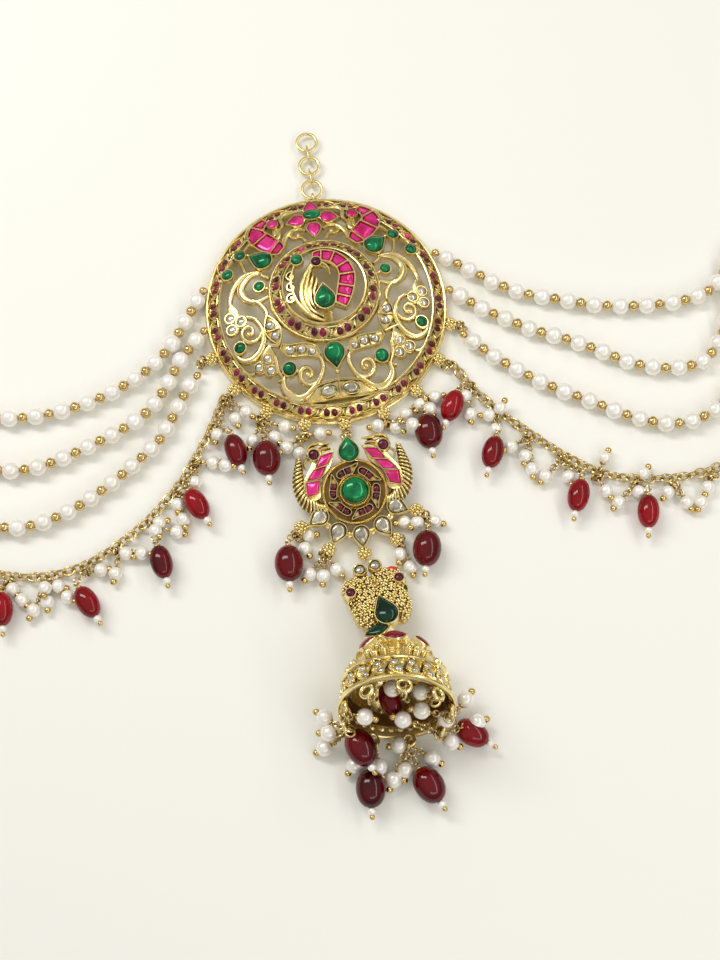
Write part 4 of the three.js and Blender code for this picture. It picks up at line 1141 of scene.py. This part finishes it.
def pearl_on_pin(pile, host, x, y, radius, z=None):
    """A pearl on a short pin with a gold head, its cup and loop, and the rings up to its host."""
    z = rest_height(x, y, radius) if z is None else z
    PLACED.append((x, y, z, radius))
    away = np.array([x - host[0], y - host[1], 0.35 * (z - host[2])])
    away /= max(np.linalg.norm(away), 1e-6)
    at = np.array([x, y, z])
    pile.add(moved(ball(radius, 22, 14), at, facing(away)), "pearl")
    head = at + away * (radius + 0.45)
    pile.add(moved(ball(PIN_HEAD_R, 14, 9), (head[0], head[1], max(head[2], PIN_HEAD_R))), "bright")
    cup = lathe([(0, -0.15), (0.8, -0.15), (0.75, 0.1), (0.35, 0.35), (0, 0.4)], 14)
    pile.add(moved(cup, at - away * (radius - 0.1), facing(-away)), "bright")
    loop = at - away * (radius + 0.75)
    pile.add(moved(torus(0.55, 0.18, 14, 6), loop, facing(np.cross(away, (0, 0, 1)) + 1e-3)), "chain")
    if np.linalg.norm(loop - np.asarray(host)) > 1.4:
        ring_chain(pile, host, loop)


def chain_hosts(row):
    curve = row_curve(row, CHAIN_CLEAR)
    lengths = np.arange(HOST_START, curve[1][-1] - HOST_END, HOST_STEP)
    return [(*(point_at(curve, length) - (0, 1.7)), 1.6) for length in lengths]


def ruby_drop(node, host):
    """A smooth red drop with a gold cap and loop on top, and a white seed bead under it."""
    pile = Pile()
    low, high = (np.array(corner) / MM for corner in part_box(node))
    at = 0.5 * (low + high)
    radius = 0.5 * (high[2] - low[2])
    half = 4.5 if radius > 3.2 else 4.2         # the larger of the two kinds is longer too
    if node.startswith(("ruby_left", "ruby_right")):
        radius *= SLIM
    lean = math.radians(RUBY_LEANS[node])
    up = np.array([-math.sin(lean), math.cos(lean), 0])
    turn = facing(up)
    kind = "dark_ruby" if node in DARK_RUBIES else "ruby"
    pile.add(moved(lathe(bead_side(radius, half, 18, 0.9), 36), at, turn), kind)
    PLACED.append((*at, radius))
    pile.add(moved(torus(0.62, 0.3, 18, 8), at + up * (half - 0.05), turn), "bright")
    upright = about("Z", 20) @ about("X", 90)
    pile.add(moved(torus(0.75, 0.2, 16, 7), at + up * (half + 1.0), upright), "chain")
    pile.add(moved(ball(0.98, 18, 12), at - up * (half + 0.72)), "pearl")
    pile.add(moved(ball(0.66, 14, 9), at - up * (half + 2.1)), "bright")
    ring_chain(pile, at + up * (half + 1.5), host)
    pile.build(node + "_bead", [node])


def hangings():
    """The loose rings at every place that things hang from, then the red drops, then the small pearls."""
    hosts = {
        "fringe": [(*polar(FRINGE_R, angle), 1.4) for angle in BALL_ANGLES],
        "left": chain_hosts(CHAINS[1]),
        "right": chain_hosts(CHAINS[0]),
        "plaque": [(-16.2, -58.4, 2.2), (-9.9, -64.3, 1.8), (8.7, -64.2, 1.8), (15.6, -58.6, 2.2)],
        "bell": bell_hosts(),
    }
    for name, places in hosts.items():
        rings = Pile()
        for place in places:
            ring_bunch(rings, place, *BUNCHES[name])
        rings.build(name + "_jump_rings")
    for node in RUBY_LEANS:
        x, y, _ = box_middle(node)
        ruby_drop(node, nearest(hosts[node.split("_")[1]], x, y + 6))
    for name, pearls in CLUSTERS.items():
        pile = Pile()
        for x, y in pearls:
            pearl_on_pin(pile, nearest(hosts[name.split("_")[0]], x, y + 2), x, y, SMALL_PEARL_R)
        pile.build(name)


# ---------- plaque ----------
PLAQUE_AT = np.array([-0.5, -49.4, 3.4])
PLAQUE_TURN = about("X", 11)
DISC_DROP = np.array([0, -0.8, 0])      # how far the disc and its fan lie below the birds
LEAF_RING_R = 5.3
FAN_ANGLES = [208, 239, 270, 301, 332]
FAN_R = 10.5                      # middle of a fan drop, then of the loop and the ball beyond its tip
FAN_LOOP_R = 14.6
FAN_BALL_R = 16.2
PINK_CELLS = [                    # each stone's corners
    [(3.9, 9.4), (5.5, 6.9), (8.6, 6.2), (6.9, 8.9)],
    [(6.0, 6.3), (7.8, 3.7), (11.0, 3.4), (9.1, 5.7)],
    [(8.1, 3.0), (8.9, 0.2), (11.5, -0.6), (11.4, 2.8)],
]
WIRE_TAIL = Ribbon([(12.3, 9.4), (12.9, 6.4), (13.3, 2.6), (12.2, -1.2), (9.6, -3.4), (7.2, -3.8)],
                   [0.55, 1.5, 1.95, 1.1])     # its half widths, here


def along_sides(corners, count=4):
    """A polygon's outline with this many points along each side."""
    corners = np.array(corners)
    spans = np.roll(corners, -1, 0) - corners
    shares = np.arange(count)[:, None] / count
    return np.vstack([corner + span * shares for corner, span in zip(corners, spans)])


def wire_tail(put):
    """A coiled-wire tail that tapers up the outside."""
    path = spline(WIRE_TAIL.through, 60)
    halves = np.interp(np.linspace(0, 1, 60), [0, 0.35, 0.75, 1], WIRE_TAIL.widths)
    ahead = directions(np.gradient(path, axis=0))
    # Painted shade: the base under the coils is in a darker gold, so that the gaps between them look
    # shaded.
    put(sweep(path, 2 * halves, -0.2, 2.0), "patina")
    share = np.linspace(-1, 1, 7)
    rise = 1 + np.sqrt(1 - share**2)
    for k in range(2, 58, 3):
        across = np.array([-ahead[k, 1], ahead[k, 0]])
        coil = path[k] + np.outer(share * halves[k], across + 0.55 * ahead[k])
        put(sweep(np.column_stack([coil, rise]), [0.5, 0.62, 0.5], 0, 0.6))


def plaque_bird(put):
    """One of the two peacocks that look at each other over the plaque's top stone."""
    body = [(3.4, 10.3), (4.9, 6.2), (7.6, 3.2), (8.1, -0.4), (9.6, -1.6), (12.0, -0.9), (12.1, 3.2),
            (10.0, 6.4), (8.3, 8.6)]
    put(plate(closed_spline(body, 50), 0, 2.2, 0.1))
    for cell in PINK_CELLS:
        edge = along_sides(cell)
        put(edging(grown(edge, 0.18), 0.42, 1.8, 3.0))
        put(flat_stone(grown(edge, -0.02), 2.0, 2.6, 2.85, 0.8), "pink")
    wire_tail(put)
    put(plate(oval(8.5, 9.6, 2.0), 0, 2.2, 0.3))
    setting(put, oval(8.6, 9.5, 1.15), "garnet", wall=0.5, high=3.4, floor=1.0, crown=0.5)
    crest = [(10.2, 10.6), (9.2, 12.0), (7.2, 12.3), (5.2, 11.9), (3.6, 12.1)]
    beak = [(7.2, 10.4), (5.6, 10.9), (4.2, 10.6)]
    curl = [(10.3, 8.6), (11.2, 7.8), (11.0, 6.2)]
    put(sweep(spline(crest, 18), [0.6, 1.0, 0.9, 0.4], 0.4, 2.4))
    put(sweep(spline(beak, 12), [1.6, 1.4, 0.3], 0.4, 2.6, RIDGED))
    put(sweep(spline(curl, 10), [0.6, 0.7, 0.4], 0.4, 2.2))


def plaque_disc(put):
    """The round base with its domed green stone, and six leaves with two small stones each."""
    base = [(0, 0), (7.9, 0), (8.05, 0.6), (8.05, 2.3), (7.95, 2.75), (7.7, 2.9), (7.45, 2.7),
            (7.4, 1.5), (4.4, 1.5), (4.35, 2.3), (4.15, 2.55), (3.9, 2.35), (3.85, 2.2), (3.65, 3.6),
            (3.4, 3.8), (3.1, 3.55), (3.05, 2.4), (0, 2.4)]
    dome = [(0, 0), (3.0, 0), (2.95, 0.6), (2.6, 1.15), (1.9, 1.55), (1.0, 1.8), (0, 1.88)]
    petal = [(-1.9, 0.55), (-1.3, 0.95), (-0.2, 0.95), (1.0, 0.9), (2.0, 1.1), (3.2, 1.7), (2.6, 0.1),
             (2.0, -0.8), (0.8, -0.95), (-0.5, -0.9), (-1.7, -0.7), (-2.1, 0.0)]
    put(lathe(base, 64))
    # Painted shade: a darker ring under the leaves, seen in the gaps between them.
    put(lathe([(4.35, 1.3), (7.45, 1.3), (7.45, 1.56), (4.35, 1.56)], 64, wrap=True), "patina")
    put(moved(lathe(dome, 40), (0, 0.2, 3.0)), "emerald")
    for angle in range(-10, 350, 60):
        outline = closed_spline(bent(petal, LEAF_RING_R, angle), 40)[::-1]
        put(plate(outline, 1.4, 1.75, 0.05))
        put(edging(outline, 0.45, 1.4, 2.9))
        for side in (-0.85, 0.95):
            stone = bent(oval(side, 0.05, 0.82, count=14), LEAF_RING_R, angle)
            put(cabochon(stone, 1.5, 2.3, 2.95, 4), "garnet")
        put(sweep(bent([(0.05, -0.9), (0.05, 0.9)], LEAF_RING_R, angle), [0.3], 1.4, 2.6))


def plaque_fan(put):
    """Five drop-shaped stones below the disc, and the studs between them."""
    for angle in FAN_ANGLES:
        at = polar(FAN_R, angle)
        put(plate(drop(*at, angle, 2.4, 4.2), 0, 2.0, 0.1))
        stone = drop(*at, angle, 1.8, 3.1)
        setting(put, stone, "kundan", brilliant, wall=0.6, high=2.8, floor=0.3, crown=0.3)
        loop = (*polar(FAN_LOOP_R, angle), 1.2)
        put(moved(torus(0.7, 0.28, 16, 7), loop, about("Z", angle) @ about("X", 90)))
    for first, second in zip(FAN_ANGLES[:-1], FAN_ANGLES[1:]):
        put(plate(oval(*polar(10.6, 0.5 * (first + second)), 0.8), 0.2, 1.6, 0.2))


def plaque():
    """Two peacocks round a disc of ruby leaves, over a fan of five drop-shaped stones."""
    pile = Pile()
    put = placing(pile.add, PLAQUE_AT + PLAQUE_TURN @ DISC_DROP, PLAQUE_TURN)
    plaque_disc(put)
    plaque_fan(put)
    plaque_bird(mirrored(placing(pile.add, PLAQUE_AT, PLAQUE_TURN)))
    top = drop(0, 9.9, 90, 2.3, 3.5)
    put(plate(grown(top, 0.45), 0, 2.0, 0.1))
    setting(put, top, "emerald", wall=0.5, high=3.2, floor=0.5, crown=1.1)
    for angle in FAN_ANGLES:
        granules(pile, PLAQUE_AT + PLAQUE_TURN @ np.array([*polar(FAN_BALL_R, angle), 1.6]), 1.65)
    pile.build("plaque_set", ["plaque", "plaque_centre_stone", "plaque_top_stone"])
    wire_piece("plaque_jump_ring", torus(1.2, 0.36, 28, 10), (-0.4, -35.7, 3), about("Y", 90))


# ---------- bird charm ----------
CHARM_AT = (0.8, -77.4, 4.2)
CHARM_TURN = about("X", -14) @ about("Z", 10)
CHARM_GRAIN_R = 0.4
CHARM_HALF = [(0, 5.2), (2.4, 6.0), (4.6, 6.3), (6.6, 5.6), (7.9, 3.8), (7.9, 1.8), (7.1, 0), (7.2, -2),
              (7.3, -4), (6.5, -6.4), (4.6, -8.2), (2.4, -8.3), (0, -8.7)]
CHARM_WIDTH = 0.96


def inside(outline, x, y):
    """Whether a point lies inside an outline."""
    ahead = np.roll(outline, -1, 0)
    crosses = (outline[:, 1] > y) != (ahead[:, 1] > y)
    rise = np.where(crosses, ahead[:, 1] - outline[:, 1], 1)
    at = outline[:, 0] + (y - outline[:, 1]) / rise * (ahead[:, 0] - outline[:, 0])
    return bool(np.sum(crosses & (x < at)) % 2)


def charm_rise(reach):
    """How far the bodies swell, this far in from their edge."""
    return 1.5 * math.sqrt(min(reach / 3.2, 1))


def charm_height(x, y, outline):
    """Two plump bodies with a groove between them."""
    reach = np.min(np.hypot(outline[:, 0] - x, outline[:, 1] - y))
    groove = 0.7 * math.exp(-(x / 0.6) ** 2) * (y > 0.5)
    return 1.2 + charm_rise(reach) - groove


def charm_grains(put, outline, stone):
    """Grains all over the bodies, clear of the stone, and in two rows round their edge."""
    grain = ball(CHARM_GRAIN_R, 8, 5)
    clear_of = grown(stone, 0.6)
    for row in range(-13, 12):
        for column in range(-12, 13):
            x = 1.8 * CHARM_GRAIN_R * (column + 0.5 * (row % 2)) + 0.12 * RANDOM.standard_normal()
            y = 1.6 * CHARM_GRAIN_R * row + 0.12 * RANDOM.standard_normal()
            if not inside(outline, x, y) or inside(clear_of, x, y):
                continue
            size = 0.85 + 0.35 * RANDOM.random()
            put(moved(grain, (x, y, charm_height(x, y, outline) + 0.12), size=size))
    for k in range(0, len(outline), 2):
        for lift in (0.1, 0.8):
            put(moved(grain, (*outline[k], lift)))


def bird_charm():
    """Two granulated birds back to back, a green drop between them and small stones for their eyes."""
    pile = Pile()
    put = placing(pile.add, CHARM_AT, CHARM_TURN)
    half = spline(CHARM_HALF, 44) * [CHARM_WIDTH, 1]
    outline = np.vstack([half[::-1], half[1:-1] * [-1, 1]])
    rows = [raised(outline, -0.9), raised(grown(outline, 0.25), -0.2), raised(outline, 0.9)]
    rows += [raised(grown(outline, -step), 0.85 + charm_rise(step)) for step in (0.7, 1.6, 2.8)]
    # The body is in the darker gold: patina and painted shade in the gaps between the grains.
    put(loft(rows), "chain")
    stone = drop(0.2, -6.4, 94, 2.55, 4.8)
    charm_grains(put, outline, stone)
    setting(put, stone, "deep_emerald", wall=0.55, high=4.1, floor=0.3, crown=1.2)
    cup = [(0, -0.4), (1.65, -0.4), (1.75, 0), (1.7, 2.2), (1.55, 2.45), (1.3, 2.3), (1.25, 1.7),
           (0, 1.7)]
    for side in (-1, 1):
        put(moved(lathe(cup, 28), (side * 1.9, 7.3, 0.4)))
        put(moved(brilliant(oval(0, 0, 1.2, count=16), 0, 0.9), (side * 1.9, 7.3, 2.0)), "kundan", False)
        setting(put, oval(side * 6.1, 1.6, 1.0), "garnet", wall=0.5, high=3.9, floor=0.5, crown=0.55)
        beak = spline([(side * 6.8, 0.5), (side * 7.4, -0.4), (side * 7.2, -1.6)], 8)
        put(sweep(beak, [0.9, 0.7, 0.2], 0.6, 2.2, RIDGED))
    put(moved(cabochon(leaf(0, 0, -10, 3.4, 1.3), 0, 0.4, 0.8), (5.4, 5.1, 1.9)), "coral")
    pile.build("bird_charm_set", ["bird_charm", "bird_charm_stone"])


# ---------- bell ----------
BELL_MOUTH = np.array([0.5, -106.1, 14.3])
BELL_TURN = about("Z", -7.5) @ about("X", -112)     # from upright to lying, its mouth down the picture
BELL_LEAVES = 20
BELL_STONES = 7
BELL_LOOPS = 9
BELL_PEARL_R = 2.0
BAND_HEIGHT = 3.9                 # middle of the band of leaves
BELL_SIDE = [(13.7, 0.0), (13.3, 1.2), (12.55, 1.9), (12.2, 5.8), (12.6, 6.6), (12.3, 7.4), (10.7, 9.7),
             (8.2, 12.9), (4.6, 16.2), (3.6, 17.2), (3.4, 18.4)]
BELL_INSIDE = [(0, 16.2), (3.6, 15.0), (7.0, 12.2), (9.9, 8.8), (11.3, 6.2), (11.9, 3.0), (12.7, 0.3)]
BELL_PEARLS = [                   # x, y, z in the frame
    (-7, -106.9, 16), (1.5, -108.6, 14), (6, -107.4, 15), (11.4, -109.8, 13), (19.1, -110.5, 4),
    (17.2, -105.1, 6), (12.2, -114.2, 5), (0.2, -112.9, 3.5), (-10.7, -115.7, 2.1), (-5.2, -117, 3.5),
    (0.8, -118.6, 2.1), (-2.3, -120.4, 2.1), (-15.6, -107.8, 6), (-17.1, -110.6, 2.1), (-16, -104.1, 6),
    (6.5, -103.4, 17), (0.1, -101.8, 18), (7.4, -117, 2.5),
]


def wrapping(put, turn, height, side=BELL_SIDE, sign=1):
    """Adds flat shapes wrapped on the bell, x round it, y up it and z out of it, or in where sign is -1.

    A shape's origin comes at this turn, in radians, and this height.
    """
    radii, heights = np.array(sorted(side, key=lambda point: point[1])).T
    marks = np.concatenate([[0], np.cumsum(np.hypot(np.diff(radii), np.diff(heights)))])

    def wrap(points):
        along = np.interp(height, heights, marks) + points[:, 1]
        radius, level = (np.interp(along, marks, values) for values in (radii, heights))
        out, up = (
            np.interp(along + 0.8, marks, values) - np.interp(along - 0.8, marks, values)
            for values in (radii, heights)
        )
        rise = sign * points[:, 2] / np.maximum(np.hypot(out, up), 1e-6)
        reach = radius + rise * up
        angle = turn + sign * points[:, 0] / np.maximum(radius, 1.5)
        return np.column_stack([reach * np.cos(angle), reach * np.sin(angle), level - rise * out])

    return changed(put, wrap)


def bell_shell(put):
    """The bell's wall with its lip, ridges and top knob, a dark groove for the band and a darker lining,
    both painted shade.
    """
    outside = [(13.0, 0.0), (13.35, -0.15), (13.6, 0.0), (13.6, 0.5), (13.35, 0.75), (13.5, 1.05),
               (13.3, 1.4), (12.9, 1.5), (12.3, 1.75), (11.95, 2.3), (11.75, 5.4), (12.1, 5.9),
               (12.5, 6.0), (12.85, 6.3), (12.8, 6.75), (12.4, 7.0), (11.95, 7.3), (10.6, 9.6),
               (8.1, 12.8), (4.7, 16.0), (3.5, 16.9), (3.3, 17.3), (3.8, 17.6), (3.9, 18.0),
               (3.4, 18.5), (2.6, 18.7), (0, 18.7)]
    put(lathe(BELL_INSIDE + outside, 96))
    # Painted shade: a dark groove under the band, seen through the slots between its leaves.
    put(lathe([(11.3, 2.1), (12.1, 2.2), (12.0, 5.5), (11.3, 5.6)], 96, wrap=True), "patina")
    # Painted shade: a lining of the darker gold just inside the hollow.
    lining = [(max(radius - 0.08, 0), height - 0.08) for radius, height in reversed(BELL_INSIDE)]
    put(lathe(BELL_INSIDE + lining, 72), "chain")


def bell_band(put):
    """Slanted leaves round the band, each with two clear stones, and slots between them, dark with the
    painted shade of the groove beneath.
    """
    body = leaf(0, 0, -62, 5.4, 3.1, 15)
    edge = np.column_stack([body[:, 0] + 0.5 * np.sin(body[:, 1] * 1.3), body[:, 1]])
    for i in range(BELL_LEAVES):
        here = wrapping(put, TAU * i / BELL_LEAVES, BAND_HEIGHT)
        here(plate(edge, -0.6, 0.12, 0.05))
        here(edging(edge, 0.36, -0.5, 0.5))
        for x, y in ((-0.42, 0.98), (0.42, -0.98)):
            seat = oval(x, y, 0.84, count=16)
            here(edging(grown(seat, 0.05), 0.22, 0, 0.42))
            here(brilliant(seat, 0.05, 0.62), "clear", False)


def clear_of_hollow(points):
    """Points pushed out of the bell's hollow, into its wall."""
    radii, heights = np.array(BELL_INSIDE).T
    least = np.interp(points[:, 2], heights[::-1], radii[::-1]) + 0.4
    reach = np.maximum(np.hypot(points[:, 0], points[:, 1]), 0.01)
    return points * np.column_stack([np.maximum(least / reach, 1)] * 2 + [np.ones(len(points))])


def cone_scrolls(put, turn):
    """What stands between two red stones: a small drop, a pair of curls and two stems up to a bead."""
    here = wrapping(put, turn, 9.2)
    higher = wrapping(put, turn, 9.4)
    here(plate(drop(0, -0.2, 90, 0.95, 2.0), -0.3, 0.75, 0.4))
    for side in (-1, 1):
        curl = spiral(side * 1.95, 0.1, 1.15, 0.3, 90 - side * 60, -side * 1.3)
        stem = spline([(side * 2.6, 1.4), (side * 1.1, 2.6), (side * 0.3, 4.6)], 12)
        higher(sweep(curl, [0.3, 0.6, 0.6, 0.5], -0.3, 0.6))
        higher(moved(ball(0.42, 10, 6), (side * 1.95, 0.1, 0.25)))
        higher(sweep(stem, [0.4, 0.7, 0.4], -0.3, 0.5))
    here(moved(ball(0.55, 10, 6), (0, 2.9, 0.3)))


def bell_cone(put):
    """Red stones in tall boxes round the cone, with scrolls between them."""
    petal = leaf(0, 0, 0, 5.4, 3.9, 17)
    base = grown(petal, 0.1) * (0.95, 0.7) - (0, 1.0)
    box = [raised(base, -2.8), raised(grown(petal, 0.3), -0.6), raised(grown(petal, 0.3), 1.0)]
    for i in range(BELL_STONES):
        angle = 360 * i / BELL_STONES - 90
        lean = about("Z", angle + 90) @ about("X", 54)
        here = placing(changed(put, clear_of_hollow), (*polar(7.2, angle), 14.1), lean)
        here(loft(box))
        here(edging(grown(petal, 0.22), 0.44, 0.6, 1.4))
        here(cabochon(petal, 0.6, 1.4, 2.1), "red")
        cone_scrolls(put, math.radians(angle + 180 / BELL_STONES))


def bell_inside(put):
    """The backs of the stones show inside as rows of round bosses."""
    # The bosses are in the darker gold too: painted shade inside the hollow.
    boss = lathe([(0, -0.3), (0.86, -0.3), (0.8, 0.12), (0.5, 0.24), (0, 0.28)], 14)
    for height, count in ((2.0, 34), (4.1, 33), (6.2, 30), (8.3, 27), (10.4, 22), (12.4, 16)):
        for i in range(count):
            turn = TAU * (i + 0.5 * (count % 2)) / count
            wrapping(put, turn, height, BELL_INSIDE, -1)(boss, "chain")


def crown_leaf(put):
    """The green leaf in its box where the charm meets the bell."""
    petal = leaf(0, 0, 0, 6.4, 3.6, 17)
    put(plate(grown(petal, 0.3), -2.2, 0.4, 0.1))
    put(edging(grown(petal, 0.25), 0.5, 0, 0.95))
    put(cabochon(petal, 0.2, 0.95, 1.6), "deep_emerald")


def above_floor(points):
    """Points that would be under the floor brought up to it."""
    return np.maximum(points, (-np.inf, -np.inf, 0.02))


def bell_loops():
    """The direction out from the bell's axis at each loop on its lip."""
    return [np.array([*polar(1, -83 + 40 * i), 0]) for i in range(BELL_LOOPS)]


def bell_hosts():
    """Where things hang from the bell's lip, in the frame."""
    return [BELL_MOUTH + BELL_TURN @ (12.1 * out - (0, 0, 2.4)) for out in bell_loops()]


def bell():
    pile = Pile()
    put = placing(changed(pile.add, above_floor), BELL_MOUTH, BELL_TURN)
    bell_shell(put)
    bell_band(put)
    bell_cone(put)
    bell_inside(put)
    for out in bell_loops():
        put(moved(torus(1.5, 0.5, 24, 10), 12.5 * out - (0, 0, 1.3), facing(out)))
        side = np.cross(out, (0, 0, 1))
        put(moved(torus(1.05, 0.3, 18, 8), 11.6 * out - (0, 0, 3.1), facing(side + 0.4 * out)), "chain")
    crown_leaf(placing(pile.add, (-0.3, -86.4, 8.2), about("Z", 19) @ about("X", -38)))
    pile.build("bell_set", ["bell"])


def bell_beads():
    """Pearls that hang at the bell's mouth, each from the nearest loop, and the dark bead inside."""
    pile = Pile()
    for x, y, z in BELL_PEARLS:
        host = min(bell_hosts(), key=lambda place: np.linalg.norm(place - (x, y, z)))
        pearl_on_pin(pile, host, x, y, BELL_PEARL_R, z)
    bead = lathe(bead_side(2.5, 4.2, 12), 28)
    pile.add(moved(bead, (-0.5, -103.4, 11.4), about("Z", 12) @ about("X", -90)), "dark_ruby")
    pile.build("bell_pearls")


make_stage()
medallion()
for row in STRANDS:
    strand(row)
for row in CHAINS:
    chain(row)
end_bar(1)
end_bar(-1)
extender()
hangings()
plaque()
bird_charm()
bell()
bell_beads()
back_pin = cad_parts["back_pin"].data
back_pin.materials.clear()
back_pin.materials.append(MATERIALS["gold"])
